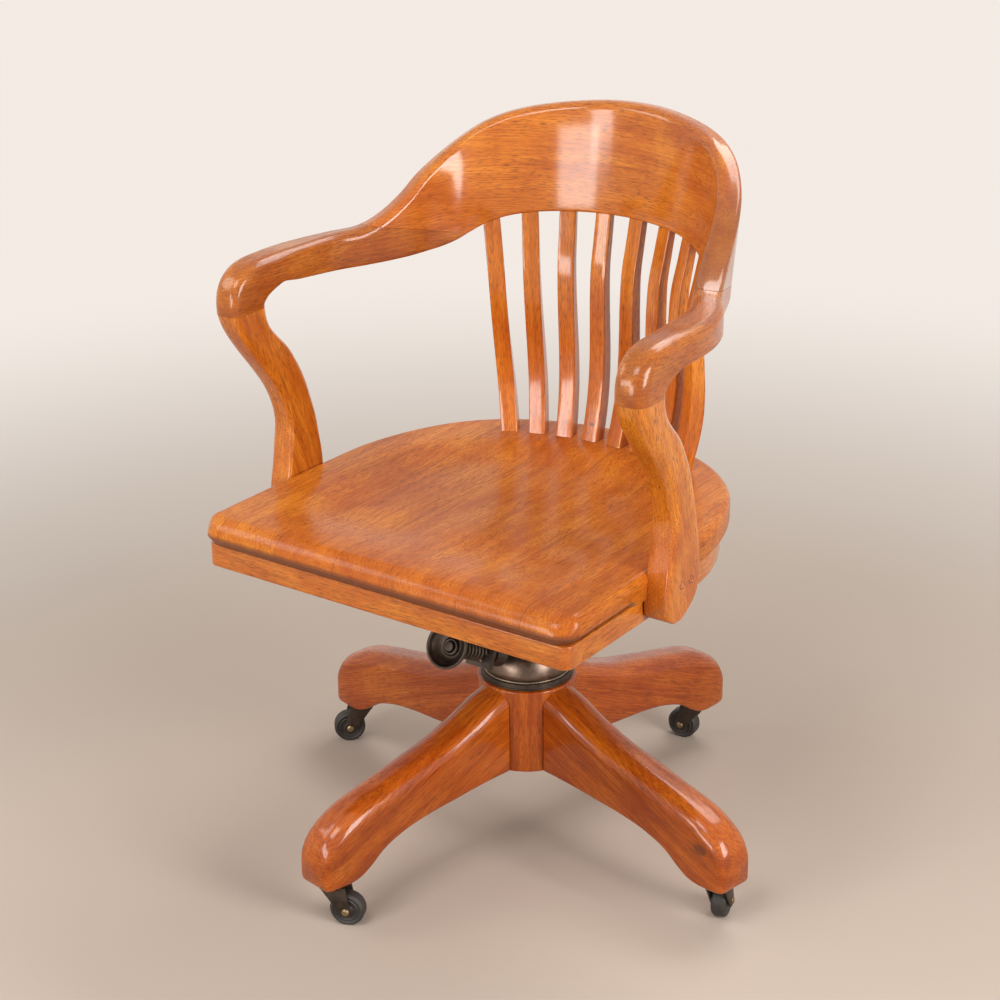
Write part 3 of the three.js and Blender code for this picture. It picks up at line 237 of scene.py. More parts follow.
# materials
def addGroup(name, inputs, outputs):
    group = bpy.data.node_groups.new(name, "ShaderNodeTree")
    for label, kind, value in inputs:
        socket = group.interface.new_socket(label, in_out="INPUT", socket_type=kind)
        if value is not None:
            socket.default_value = value
    for label, kind in outputs:
        group.interface.new_socket(label, in_out="OUTPUT", socket_type=kind)
    return group, group.nodes.new("NodeGroupInput"), group.nodes.new("NodeGroupOutput")


def node(tree, kind, links=None, **values):
    made = tree.nodes.new(kind)
    for key, value in values.items():
        if hasattr(made, key):
            setattr(made, key, value)
        else:
            made.inputs[key.replace("_", " ")].default_value = value
    for key, source in (links or {}).items():
        tree.links.new(source, made.inputs[key])
    return made


def math(tree, operation, a, b=None, clamp=False):
    made = tree.nodes.new("ShaderNodeMath")
    made.operation = operation
    made.use_clamp = clamp
    for i, value in enumerate((a, b)):
        if value is None:
            continue
        if isinstance(value, (int, float)):
            made.inputs[i].default_value = value
        else:
            tree.links.new(value, made.inputs[i])
    return made.outputs[0]


def ramp(tree, source, stops, smoothly=False):
    made = tree.nodes.new("ShaderNodeValToRGB")
    made.color_ramp.interpolation = "EASE" if smoothly else "LINEAR"
    elements = made.color_ramp.elements
    while len(elements) < len(stops):
        elements.new(0.5)
    for element, (place, colour) in zip(elements, stops):
        element.position = place
        element.color = (*colour, 1) if isinstance(colour, tuple) else (colour, colour, colour, 1)
    tree.links.new(source, made.inputs[0])
    return made.outputs[0]


def blendColour(tree, factor, a, b, how="MIX"):
    made = tree.nodes.new("ShaderNodeMix")
    made.data_type = "RGBA"
    made.blend_type = how
    for socket, value in ((made.inputs[0], factor), (made.inputs[6], a), (made.inputs[7], b)):
        if isinstance(value, (int, float)):
            socket.default_value = value
        elif isinstance(value, tuple):
            socket.default_value = (*value, 1)
        else:
            tree.links.new(value, socket)
    return made.outputs[2]


def noise(tree, vector, scale, detail=3, roughness=0.55, distortion=0):
    made = node(tree, "ShaderNodeTexNoise", {"Vector": vector}, Scale=scale, Detail=detail,
                Roughness=roughness, Distortion=distortion)
    return made.outputs[0]


def stretched(tree, vector, scale):
    return node(tree, "ShaderNodeMapping", {"Vector": vector}, Scale=scale).outputs[0]


# oak grain in the piece's own grain coordinates: x along, y across, z through; triples are waves to a metre
grainLook = dict(
    drift=(1.8, 12, 12), wander=(7, 70, 70), streak=(34, 700, 700), coarse=(7, 60, 60),
    dash=(90, 1100, 1100), crowd=(5, 45, 45), bend=0.06, pith=0.06, rings=1500, ringWander=16,
    ringShare=0.5, streakShare=0.36, coarseShare=0.42, lift=0.12, relief=0.3)


def makeWoodGrain():
    group, given, result = addGroup(
        "woodGrain",
        [("Coords", "NodeSocketVector", None), ("Figure", "NodeSocketFloat", 0.5),
         ("Pores", "NodeSocketFloat", 0.6)],
        [("Tone", "NodeSocketFloat"), ("Pores", "NodeSocketFloat"), ("Height", "NodeSocketFloat")])
    coords = given.outputs["Coords"]

    def waves(name, detail, roughness=0.55):
        return noise(group, stretched(group, coords, grainLook[name]), 1, detail, roughness)

    def scaled(value, name):
        return math(group, "MULTIPLY", value, grainLook[name])

    parts = node(group, "ShaderNodeSeparateXYZ", {"Vector": coords}).outputs
    # growth rings: distance from a pith off to one side, bent by the drift
    side = math(group, "ADD", parts[1], scaled(waves("drift", 2, 0.5), "bend"))
    deep = math(group, "ADD", parts[2], grainLook["pith"])
    far = math(group, "SQRT", math(group, "ADD", math(group, "MULTIPLY", side, side),
                                   math(group, "MULTIPLY", deep, deep)))
    rings = math(group, "ADD", scaled(far, "rings"), scaled(waves("wander", 2, 0.5), "ringWander"))
    band = scaled(math(group, "SINE", rings), "ringShare")
    figure = math(group, "MULTIPLY", band, given.outputs["Figure"])
    streak = ramp(group, waves("streak", 4, 0.65), [(0.32, 0.0), (0.68, 1.0)])
    coarse = ramp(group, waves("coarse", 3, 0.6), [(0.3, 0.0), (0.7, 1.0)], True)
    tone = math(group, "ADD", scaled(streak, "streakShare"), scaled(coarse, "coarseShare"))
    tone = math(group, "ADD", math(group, "ADD", tone, figure), grainLook["lift"], clamp=True)
    # pores: short dark dashes, crowded in places
    dash = ramp(group, waves("dash", 1, 0.5), [(0.53, 0.0), (0.66, 1.0)])
    crowd = ramp(group, waves("crowd", 2), [(0.3, 0.45), (0.6, 1.0)])
    pores = math(group, "MULTIPLY", math(group, "MULTIPLY", dash, crowd), given.outputs["Pores"])
    height = math(group, "SUBTRACT", scaled(streak, "relief"), pores)
    for label, source in (("Tone", tone), ("Pores", pores), ("Height", height)):
        group.links.new(source, result.inputs[label])
    return group


# slow drift of colour over a surface, in Object coordinates, and handling marks in its gloss
def makeAgeing():
    group, given, result = addGroup(
        "ageing",
        [("Coords", "NodeSocketVector", None), ("Size", "NodeSocketFloat", 9.0)],
        [("Stain", "NodeSocketFloat"), ("Rub", "NodeSocketFloat"), ("Specks", "NodeSocketFloat")])
    coords = given.outputs["Coords"]
    sized = node(group, "ShaderNodeVectorMath", {0: coords}, operation="SCALE")
    group.links.new(given.outputs["Size"], sized.inputs["Scale"])
    stain = ramp(group, noise(group, sized.outputs[0], 1, 4, 0.6, 0.5), [(0.36, 0.0), (0.66, 1.0)], True)
    rub = ramp(group, noise(group, sized.outputs[0], 5, 4, 0.6), [(0.35, 0.0), (0.7, 1.0)])
    specks = ramp(group, noise(group, sized.outputs[0], 42, 2, 0.5), [(0.66, 0.0), (0.74, 1.0)])
    for label, source in (("Stain", stain), ("Rub", rub), ("Specks", specks)):
        group.links.new(source, result.inputs[label])
    return group


woodGrain = makeWoodGrain()
ageing = makeAgeing()


def placeGroup(tree, group, links, **values):
    made = tree.nodes.new("ShaderNodeGroup")
    made.node_tree = group
    for key, source in links.items():
        tree.links.new(source, made.inputs[key])
    for key, value in values.items():
        made.inputs[key].default_value = value
    return made.outputs


def newMaterial(name):
    material = bpy.data.materials.new(name)
    material.use_nodes = True
    tree = material.node_tree
    return material, tree, tree.nodes["Principled BSDF"]


toneSteps = (0.0, 0.35, 0.65, 1.0)


def makeOak(name, oak):
    material, tree, shader = newMaterial(name)
    coords = node(tree, "ShaderNodeAttribute", attribute_name="grain").outputs["Vector"]
    shade = node(tree, "ShaderNodeAttribute", attribute_name="tone").outputs["Fac"]
    place = node(tree, "ShaderNodeTexCoord").outputs["Object"]
    boards = oak.get("boards")
    grainCoords = coords
    if boards:
        across = node(tree, "ShaderNodeSeparateXYZ", {"Vector": coords}).outputs[1]
        across = math(tree, "DIVIDE", across, boards["width"])
        number = math(tree, "FLOOR", across)
        shifted = node(tree, "ShaderNodeVectorMath", {0: number, 2: coords}, operation="MULTIPLY_ADD")
        shifted.inputs[1].default_value = boards["step"]
        grainCoords = shifted.outputs[0]
    wood = placeGroup(tree, woodGrain, {"Coords": grainCoords}, Figure=oak["figure"], Pores=oak["pores"])
    age = placeGroup(tree, ageing, {"Coords": place}, Size=oak["stainSize"])

    def lay(colour, mask, share, over, how="MIX"):
        return blendColour(tree, math(tree, "MULTIPLY", mask, share), colour, over, how)

    colour = ramp(tree, wood["Tone"], list(zip(toneSteps, oak["tones"])))
    colour = lay(colour, age["Stain"], oak["stain"], oak["stainColour"], "MULTIPLY")
    if boards:
        # glued-up boards: each its own tone, with a fine dark joint between
        pick = node(tree, "ShaderNodeTexWhiteNoise", {"W": number}, noise_dimensions="1D").outputs[0]
        colour = lay(colour, pick, boards["shift"], boards["colour"], "MULTIPLY")
        edge = math(tree, "ABSOLUTE", math(tree, "SUBTRACT", math(tree, "FRACT", across), 0.5))
        joint = ramp(tree, edge, [(0.4925, 0.0), (0.497, 1.0)])
        colour = lay(colour, joint, boards["joint"], boards["jointColour"])
    # knots, and a dark spot standing for a small hole, whose darkness is painted shade
    for spot in oak.get("knotsAndPaintedHole", []):
        there = node(tree, "ShaderNodeVectorMath", {0: place}, operation="SUBTRACT")
        there.inputs[1].default_value = spot["centre"]
        spread = node(tree, "ShaderNodeVectorMath", {0: there.outputs[0]}, operation="MULTIPLY")
        spread.inputs[1].default_value = spot["spread"]
        far = node(tree, "ShaderNodeVectorMath", {0: spread.outputs[0]}, operation="LENGTH").outputs["Value"]
        far = math(tree, "ADD", far, math(tree, "MULTIPLY", noise(tree, place, 160, 2), 0.5))
        mask = ramp(tree, far, [(0.55, 1.0), (1.15, 0.0)], True)
        colour = lay(colour, mask, spot["strength"], spot["colour"])
    colour = lay(colour, wood["Pores"], oak["poreDepth"], oak["poreColour"])
    colour = blendColour(tree, shade, colour, oak["darkColour"])
    tree.links.new(colour, shader.inputs["Base Color"])
    rough = math(tree, "ADD", math(tree, "MULTIPLY", age["Rub"], oak["rubShift"]),
                 math(tree, "MULTIPLY", wood["Pores"], oak["poreShift"]))
    tree.links.new(math(tree, "ADD", rough, oak["rough"]), shader.inputs["Roughness"])
    bump = node(tree, "ShaderNodeBump", {"Height": wood["Height"]}, Strength=oak["bump"], Distance=0.0004)
    tree.links.new(bump.outputs[0], shader.inputs["Normal"])
    shader.inputs["Coat Weight"].default_value = oak["coat"]
    shader.inputs["Coat Roughness"].default_value = oak["coatRough"]
    shader.inputs["IOR"].default_value = 1.2
    return material


def makeMetal(name, metal):
    material, tree, shader = newMaterial(name)
    place = node(tree, "ShaderNodeTexCoord").outputs["Object"]
    age = placeGroup(tree, ageing, {"Coords": place}, Size=metal["stainSize"])
    colour = blendColour(tree, age["Stain"], metal["colour"], metal["stainColour"])
    for mask, share, over in (("Rub", metal["rub"], metal["rubColour"]),
                              ("Specks", metal["specks"], metal["speckColour"])):
        colour = blendColour(tree, math(tree, "MULTIPLY", age[mask], share), colour, over)
    tree.links.new(colour, shader.inputs["Base Color"])
    rough = math(tree, "ADD", math(tree, "MULTIPLY", age["Rub"], metal["roughShift"]), metal["rough"])
    tree.links.new(rough, shader.inputs["Roughness"])
    shader.inputs["Metallic"].default_value = metal["metallic"]
    bump = node(tree, "ShaderNodeBump", {"Height": noise(tree, place, metal["grainSize"], 3)},
                Strength=metal["bump"], Distance=0.0003)
    tree.links.new(bump.outputs[0], shader.inputs["Normal"])
    return material


oakLook = dict(
    figure=0.16, pores=0.9, stainSize=9.0, stain=0.75, stainColour=(0.78, 0.56, 0.42),
    tones=[(0.40, 0.085, 0.006), (0.56, 0.15, 0.010), (0.68, 0.21, 0.016), (0.80, 0.30, 0.032)],
    poreDepth=0.72, poreColour=(0.13, 0.028, 0.005), poreShift=0.25, darkColour=(0.15, 0.045, 0.018),
    rough=0.36, rubShift=0.1, bump=0.25, coat=1.0, coatRough=0.13)
oakMat = makeOak("oakHoney", dict(oakLook, knotsAndPaintedHole=[
    # first spot: a small hole in the left post's outer face, its dark inside painted shade; second: a knot at
    # a slat's foot
    dict(centre=(0.2795, -0.082, 0.456), spread=(200, 420, 420), strength=0.9, colour=(0.03, 0.012, 0.006)),
    dict(centre=(-0.017, 0.165, 0.475), spread=(160, 90, 220), strength=0.8, colour=(0.05, 0.015, 0.006))]))
legMat = makeOak("oakLeg", dict(
    oakLook, figure=0.15, coat=0.75,
    tones=[(0.24, 0.036, 0.002), (0.38, 0.070, 0.004), (0.52, 0.118, 0.008), (0.67, 0.19, 0.017)],
    knotsAndPaintedHole=[dict(centre=(0.297, -0.087, 0.105), spread=(55, 55, 75), strength=0.7,
                colour=(0.11, 0.03, 0.01))]))
armMat = makeOak("oakArm", dict(
    oakLook, stain=0.85, stainSize=14, poreDepth=0.8, coat=0.8, coatRough=0.17,
    tones=[(0.29, 0.066, 0.006), (0.41, 0.11, 0.010), (0.52, 0.155, 0.016), (0.66, 0.24, 0.033)]))
seatMat = makeOak("oakSeat", dict(
    oakLook, figure=0.17, rough=0.42, coat=0.5, coatRough=0.2,
    boards=dict(width=0.083, step=(0.37, 0.011, 0.017), shift=0.45, colour=(0.76, 0.6, 0.5), joint=0.6,
                jointColour=(0.10, 0.03, 0.012))))
ironMat = makeMetal("darkIron", dict(
    colour=(0.036, 0.027, 0.021), stainSize=22, stainColour=(0.065, 0.043, 0.03),
    rub=0.5, rubColour=(0.11, 0.085, 0.065), specks=0.5, speckColour=(0.14, 0.075, 0.04),
    rough=0.42, roughShift=0.16, metallic=0.75, grainSize=420, bump=0.5))
nutMat = makeMetal("bronzedNut", dict(
    colour=(0.15, 0.1, 0.075), stainSize=14, stainColour=(0.085, 0.052, 0.037),
    rub=0.45, rubColour=(0.24, 0.185, 0.15), specks=0.35, speckColour=(0.06, 0.035, 0.02),
    rough=0.26, roughShift=0.14, metallic=0.9, grainSize=500, bump=0.25))
steelMat = makeMetal("agedSteel", dict(
    colour=(0.33, 0.27, 0.21), stainSize=16, stainColour=(0.17, 0.125, 0.09),
    rub=0.4, rubColour=(0.40, 0.34, 0.27), specks=0.4, speckColour=(0.12, 0.07, 0.04),
    rough=0.27, roughShift=0.16, metallic=0.92, grainSize=500, bump=0.25))
brassMat = makeMetal("agedBrass", dict(
    colour=(0.34, 0.25, 0.13), stainSize=60, stainColour=(0.16, 0.11, 0.06),
    rub=0.4, rubColour=(0.5, 0.4, 0.24), specks=0.3, speckColour=(0.12, 0.08, 0.04),
    rough=0.3, roughShift=0.2, metallic=0.9, grainSize=600, bump=0.25))
rubberMat = makeMetal("hardRubber", dict(
    colour=(0.018, 0.016, 0.015), stainSize=40, stainColour=(0.035, 0.03, 0.026),
    rub=0.5, rubColour=(0.06, 0.052, 0.045), specks=0.3, speckColour=(0.12, 0.1, 0.08),
    rough=0.5, roughShift=0.2, metallic=0.0, grainSize=500, bump=0.3))
print("materials made")

# base: the grain's slope and the shift from one leg's board to the next come last
baseYaw = radians(-11.3)
base = dict(hubRadius=60, hubBottom=105, hubTop=212, tubeRadius=20, reach=341, thick=54, foot=56,
            topRound=20, underRound=4, hubEase=2.2, sunk=2, grainFall=0.42, boardShift=(1700, 31))


def turnPoint(x, y, angle):
    return x * cos(angle) - y * sin(angle), x * sin(angle) + y * cos(angle)


# hub post
bore = base["tubeRadius"] + gap
bm = turned(tubeProfile(bore, base["hubRadius"], base["hubBottom"], base["hubTop"]), base["hubEase"], 4, 96,
            True)
finishPiece(bm, "hubPost", "base", ["hub_post"], legMat, 50,
            lambda p: (p.z, atan2(p.y, p.x) * base["hubRadius"], base["tubeRadius"]))

# legs: along, crown, underside, width, as in the part
legStations = [
    (-0.06, 1, 0.312, 1), (0.054, 0.948, 0.3105, 1), (0.164, 0.86, 0.3035, 1), (0.3, 0.7695, 0.2866, 1),
    (0.454, 0.702, 0.2657, 1), (0.58, 0.652, 0.228, 1), (0.7, 0.6055, 0.1485, 1), (0.771, 0.5757, 0.06, 1),
    (0.821, 0.55, 0.014, 1), (0.868, 0.514, 0, 1), (0.918, 0.4635, 0, 0.98), (0.952, 0.417, 0, 0.95),
    (0.976, 0.366, 0.002, 0.9), (0.992, 0.314, 0.012, 0.82), (1, 0.265, 0.035, 0.72)]
length, climb = base["reach"] - base["hubRadius"], base["hubTop"] - base["foot"]
rounds = [(base["underRound"],) * 2] * 2 + [(base["topRound"],) * 2] * 2
stations = refine(legStations, 5)
first = max(i for i, row in enumerate(stations) if length * row[0] < -base["sunk"])
for k in range(4):
    angle = baseYaw - pi / 2 + k * pi / 2
    along0, across0 = (k * shift for shift in base["boardShift"])
    rings = []
    for along, crown, under, wide in stations[first:]:
        reach = base["hubRadius"] + length * along
        half = base["thick"] / 2 * wide
        low, high = base["foot"] + climb * under, base["foot"] + climb * crown
        rows = []
        for y, z in roundedSection(-half, half, low, high, rounds, [3, 3, 8, 8], 4):
            x = max(reach, sqrt((base["hubRadius"] + gap) ** 2 - y * y))
            rows.append([*turnPoint(x, y, angle), z, x + along0, z + base["grainFall"] * x, y + across0, 0])
        rings.append(rows)
    finishPiece(loft(rings), "leg%d" % (k + 1), "base", ["base_leg_%d" % (k + 1)], legMat, 50)
print("base made")

# ironwork on the swivel axis
hub = dict(ringRadius=54.5, lipRadius=56, lipHeight=2.2, ringHeight=7, raceRadius=53, raceHeight=2.6,
           tubeInset=5, nutRadius=52, nutHeight=43, skirtShare=0.97, collar=24, collarShare=0.91,
           collarFlare=1.5, flareShare=0.9, spindle=12, spindleBottom=118, spindleLength=200, spindleEnd=2)
nutShares = [(0.985, 0), (1, 0.08), (0.985, 0.22), (0.935, 0.4), (0.85, 0.58), (0.725, 0.745), (0.58, 0.86)]
ringBottom = base["hubTop"] + gap
ringTop = ringBottom + hub["ringHeight"]
lipTop = ringBottom + hub["lipHeight"]
raceBottom = ringTop + gap
raceTop = raceBottom + hub["raceHeight"]
nutBottom = raceTop + gap
nutTop = nutBottom + hub["nutHeight"]
spindleBore = hub["spindle"] + gap
tubeBottom = base["hubBottom"] + hub["tubeInset"]

bm = turned(tubeProfile(spindleBore, base["tubeRadius"], tubeBottom, ringTop), 0.6, 2, 48, True)
finishPiece(bm, "guideTube", "base", ["guide_tube"], steelMat)
bm = turned([(bore, ringBottom), (hub["lipRadius"], ringBottom), (hub["lipRadius"], lipTop),
             (hub["ringRadius"], lipTop), (hub["ringRadius"], ringTop), (bore, ringTop)], 0.7, 3, 96, True)
finishPiece(bm, "hubRing", "base", ["hub_ring"], ironMat)
bm = turned(tubeProfile(spindleBore, hub["raceRadius"], raceBottom, raceTop), 0.8, 3, 96, True)
finishPiece(bm, "bearingRace", "race", ["bearing_race"], steelMat)
dome = [(hub["nutRadius"] * out, nutBottom + hub["nutHeight"] * up)
        for out, up in refine(nutShares, 5, [up for out, up in nutShares])]
collar = [dome[-1], (hub["collar"] + hub["collarFlare"], nutBottom + hub["nutHeight"] * hub["flareShare"]),
          (hub["collar"], nutBottom + hub["nutHeight"] * hub["collarShare"]), (hub["collar"], nutTop),
          (spindleBore, nutTop)]
skirt = [(hub["nutRadius"] * hub["skirtShare"], nutBottom)] + dome
bm = newMesh()
lathe(bm, [(spindleBore, nutBottom)] + eased(skirt, 0.8, 2) + eased(collar, 1.2, 3)[1:], steps=96, shut=True)
finishPiece(bm, "bellNut", "height nut", ["bell_nut"], nutMat, 30)
spindleTop = hub["spindleBottom"] + hub["spindleLength"]
bm = turned([(0, hub["spindleBottom"]), (hub["spindle"] - hub["spindleEnd"], hub["spindleBottom"]),
             (hub["spindle"], hub["spindleBottom"] + hub["spindleEnd"]), (hub["spindle"], spindleTop),
             (0, spindleTop)], 0.5, 2, 48)
finishPiece(bm, "spindle", "column", ["spindle"], steelMat)
print("hub ironwork made")

# tension axis, rising to the front
tension = dict(tilt=radians(28), swing=95, rod=6, reach=71, rodBehind=40.7, spring=9.5, wire=4, turns=6,
               stepsPerTurn=28, length=51.4, washer=14, washerThick=3, knob=27, knobDepth=21, knobBoss=11,
               knobRim=3.2)
pivot = Vector((0, -50, 359))
sideways = Vector((1, 0, 0))
rise = Vector((0, -cos(tension["tilt"]), sin(tension["tilt"])))
across = Vector((0, sin(tension["tilt"]), cos(tension["tilt"])))
lugCentre = pivot - across * tension["swing"]


def onTension(s):
    return lugCentre + rise * s


# open coil: one wire with straight ends along the axis, as rows of place on the axis and turn about it
wire, turns, per = tension["wire"], tension["turns"], tension["stepsPerTurn"]
coilStart = gap + wire
coilLength = tension["length"] - 2 * wire
route = [(gap + (coilStart - gap) * i / 5, 0.0) for i in range(5)]
route += [(coilStart + coilLength * i / (turns * per), 2 * pi * i / per) for i in range(turns * per + 1)]
route += [(coilStart + coilLength + wire * i / 5, 2 * pi * turns) for i in range(1, 6)]
spokes = [sideways * cos(a) + across * sin(a) for s, a in route]
centres = [onTension(s) + spoke * tension["spring"] for (s, a), spoke in zip(route, spokes)]
last = len(route) - 1
rings = []
for i, (centre, outward) in enumerate(zip(centres, spokes)):
    ahead = rise if i in (0, last) else (centres[i + 1] - centres[i - 1]).normalized()
    side = ahead.cross(outward).normalized()
    around = [2 * pi * j / 12 for j in range(12)]
    rings.append([[*(centre + outward * (wire / 2 * cos(a)) + side * (wire / 2 * sin(a))), 0, 0, 0, 0]
                  for a in around])
coil = finishPiece(loft(rings), "tensionSpring", "column", ["tension_spring"], ironMat, 60)
# pressed by the lug as the seat tips
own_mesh(coil)

washerBack = gap + tension["length"] + gap
knobBack = washerBack + tension["washerThick"] + gap
rodBore = tension["rod"] + gap
bm = turned(tubeProfile(rodBore, tension["washer"], 0, tension["washerThick"]), 0.6, 2, 48, True,
            onTension(washerBack), rise)
finishPiece(bm, "springWasher", "washer", ["spring_washer"], steelMat)
r, d, b = tension["knob"], tension["knobDepth"], tension["knobBoss"]
bm = turned([(rodBore, 0), (b, 0), (b * 1.25, d * 0.1), (r * 0.72, d * 0.34), (r * 0.93, d * 0.66),
             (r, d * 0.9), (r, d), (r - tension["knobRim"], d), (r * 0.84, d * 0.72), (r * 0.6, d * 0.48),
             (b, d * 0.4), (b * 0.9, d * 0.6), (rodBore, d * 0.6)], 3, 5, 80, True, onTension(knobBack), rise)
finishPiece(bm, "tensionKnob", "knob", ["tension_knob"], ironMat)
rodLength = tension["reach"] + tension["rodBehind"]
bm = turned(tubeProfile(0, tension["rod"], 0, rodLength), 0.9, 3, 40,
            origin=onTension(-tension["rodBehind"]), axis=rise)
finishPiece(bm, "tensionRod", "column", ["tension_rod"], ironMat)
print("tension gear made")

# posts: up, front, back, flare, roundness, as in the part
post = dict(inner=247.3, thick=32, topThick=36, splay=5, foot=-136.5, sweep=73, depth=63, bottom=398.5,
            top=669.2, round=15, innerRound=9, grainFall=0.35, boardShift=200)
postStations = [
    (0, -0.14, 0.47, 0, 0.25), (0.02, -0.02, 0.66, 0, 0.36), (0.06, 0.03, 0.91, 0, 0.42),
    (0.14, 0, 1.04, 0, 0.45), (0.24, -0.07, 1.05, 0.02, 0.5), (0.34, -0.12, 0.99, 0.06, 0.6),
    (0.44, -0.15, 0.922, 0.14, 0.74), (0.53, -0.07, 0.814, 0.25, 0.86), (0.61, 0.07, 0.706, 0.38, 0.94),
    (0.7, 0.3, 0.525, 0.54, 1), (0.8, 0.585, 0.238, 0.73, 1), (0.85, 0.72, 0.027, 0.82, 1),
    (0.9, 0.845, -0.156, 0.9, 1), (0.95, 0.945, -0.251, 0.95, 1), (1, 1.01, -0.286, 1, 1)]
postMiddle = post["inner"] + post["thick"] / 2
# screw plugs, dished, with a dark rim
plug = dict(places=(26.4, 45.4), up=40, radius=5.2, length=9, crown=0.7, rim=3.4, lip=0.4, dish=0.8,
            ease=0.6, face=0.55, edge=0.8, faceRadius=4, grainShift=900)
for side, name in ((1, "Left"), (-1, "Right")):
    rings = []
    for up, front, back, flare, blunt in refine(postStations, 6):
        z = post["bottom"] + (post["top"] - post["bottom"]) * up
        middle = postMiddle + post["splay"] * flare
        half = mix(post["thick"], post["topThick"], flare) / 2
        outer = post["round"] * min(blunt, 1)
        inner = post["innerRound"] * min(blunt, 1)
        ring = roundedSection(middle - half, middle + half, post["foot"] - post["sweep"] * front,
                              post["foot"] + post["depth"] * back,
                              [(inner,) * 2, (outer,) * 2, (outer,) * 2, (inner,) * 2], [6, 8, 8, 6], 3)
        board = post["boardShift"] * (3 - 2 * side)
        rings.append([[side * x, y, z, z + board, y + post["grainFall"] * z, x, 0] for x, y in ring])
    finishPiece(loft(rings), "post" + name, "seat", ["arm_post_" + name.lower()], oakMat, 50)
    for k, back in enumerate(plug["places"]):
        y, z = post["foot"] + back, post["bottom"] + plug["up"]
        r, h = plug["radius"], plug["length"]
        cadName = "post_plug_%s_%d" % (name.lower(), k + 1)
        bm = turned([(0, 0), (r, 0), (r, h), (r - plug["dish"], h + plug["crown"]),
                     (plug["rim"], h - plug["lip"]), (0, h - plug["dish"])], plug["ease"], 3, 32,
                    origin=(side * (post["inner"] + post["thick"] - h), y, z), axis=(side, 0, 0))
        finishPiece(bm, "plug%s%d" % (name, k + 1), "seat", [cadName], oakMat, 40,
                    lambda p: (p.z + plug["grainShift"], p.y, p.x),
                    lambda p: plug["face"] if hypot(p.y - y, p.z - z) < plug["faceRadius"] else plug["edge"])
print("posts made")

# seat board; the shades darken the chamfer, bead and lower roll along its front edge
seat = dict(half=252, front=291, back=222, arc=30, corner=26, bottom=423.5, thick=31, ease=2, chamfer=8,
            bead=9.5, stop=168, fade=16, sideRound=11, frontRound=24, dish=10, dishHalf=214, dishBack=178,
            dishInset=34, dishRun=0.42, pommel=4.5, pommelHalf=60, lipInset=0.4, lipBelow=0.5,
            lipAbove=0.3, quirk=0.6, rowStep=0.1, chamferShade=0.9, beadShade=0.85, faceShade=0.8,
            noseShade=0.7)
seatShares = [(1, 0.148), (0.998, 0.283), (0.994, 0.43), (0.982, 0.567), (0.95, 0.645), (0.897, 0.723),
              (0.802, 0.813), (0.643, 0.897), (0.456, 0.953), (0.234, 0.988), (0, 1)]
seatTop = seat["bottom"] + seat["thick"]


# outline points with their outward directions: left corner, side, back, right side, corner, front
def seatOutline():
    cx, cy = seat["half"] - seat["corner"], seat["corner"] - seat["front"]
    points = []

    def corner(side, a, b):
        for k in range(9):
            out = Vector((cos(mix(a, b, k / 8)), sin(mix(a, b, k / 8))))
            points.append((Vector((side * cx, cy)) + out * seat["corner"], out))
    corner(1, -pi / 2, 0)
    deep = seat["front"] + seat["back"]
    half = [(seat["half"] * out, deep * back - seat["front"]) for out, back in seatShares]
    edge = [(seat["half"], cy)] + half + [(-x, y) for x, y in reversed(half[:-1])] + [(-seat["half"], cy)]
    marks = [0.0]
    for (ax, ay), (bx, by) in zip(edge, edge[1:]):
        marks.append(marks[-1] + hypot(bx - ax, by - ay))
    edge = [Vector(p) for p in refine(edge, 7, marks)]
    for a, b, c in zip(edge, edge[1:], edge[2:]):
        along = (c - a).normalized()
        points.append((b, Vector((along.y, -along.x))))
    corner(-1, pi, pi * 1.5)
    points += [(Vector((mix(-cx, cx, k / 24), -seat["front"])), Vector((0, -1))) for k in range(1, 24)]
    return points


def seatHeight(x, y):
    dy = y + seat["arc"]
    far = hypot(x / seat["dishHalf"], dy / seat["dishBack"]) if dy > 0 else abs(x) / seat["dishHalf"]
    fade = smooth((y + seat["front"] - seat["dishInset"]) / seat["arc"] / 3)
    pommel = smooth(1 - abs(x) / seat["pommelHalf"]) * smooth((-seat["arc"] - y) / seat["front"] * 1.6)
    hollow = smooth((1 - far) / seat["dishRun"])
    return seatTop - seat["dish"] * hollow * fade + seat["pommel"] * pommel * fade


outline = seatOutline()
centre = Vector((0, -seat["arc"] * 0.6))
beadTop = seat["bottom"] + seat["bead"]


def seatRing(inset, height, tone=lambda at, out: 0.0):
    rows = []
    for at, out in outline:
        p = at - out * inset(at, out)
        rows.append([p.x, p.y, height(at, out), 0, 0, 0, tone(at, out)])
    return rows


def frontal(at, out):
    return smooth(max(0, -out.y) * 1.25)


def roundOf(at, out):
    return mix(seat["sideRound"], seat["frontRound"], frontal(at, out))


def chamfered(at, out):
    return 1 - smooth((at.y + seat["stop"]) / seat["fade"])


def drop(at, out):
    return min(roundOf(at, out), seatTop - beadTop)


def chamferTop(at, out):
    return seat["bottom"] + mix(seat["ease"], seat["bead"], chamfered(at, out))


def roundFoot(at, out):
    return max(seatTop - drop(at, out), beadTop + seat["quirk"])


def chamferShade(at, out):
    return seat["chamferShade"] * chamfered(at, out)


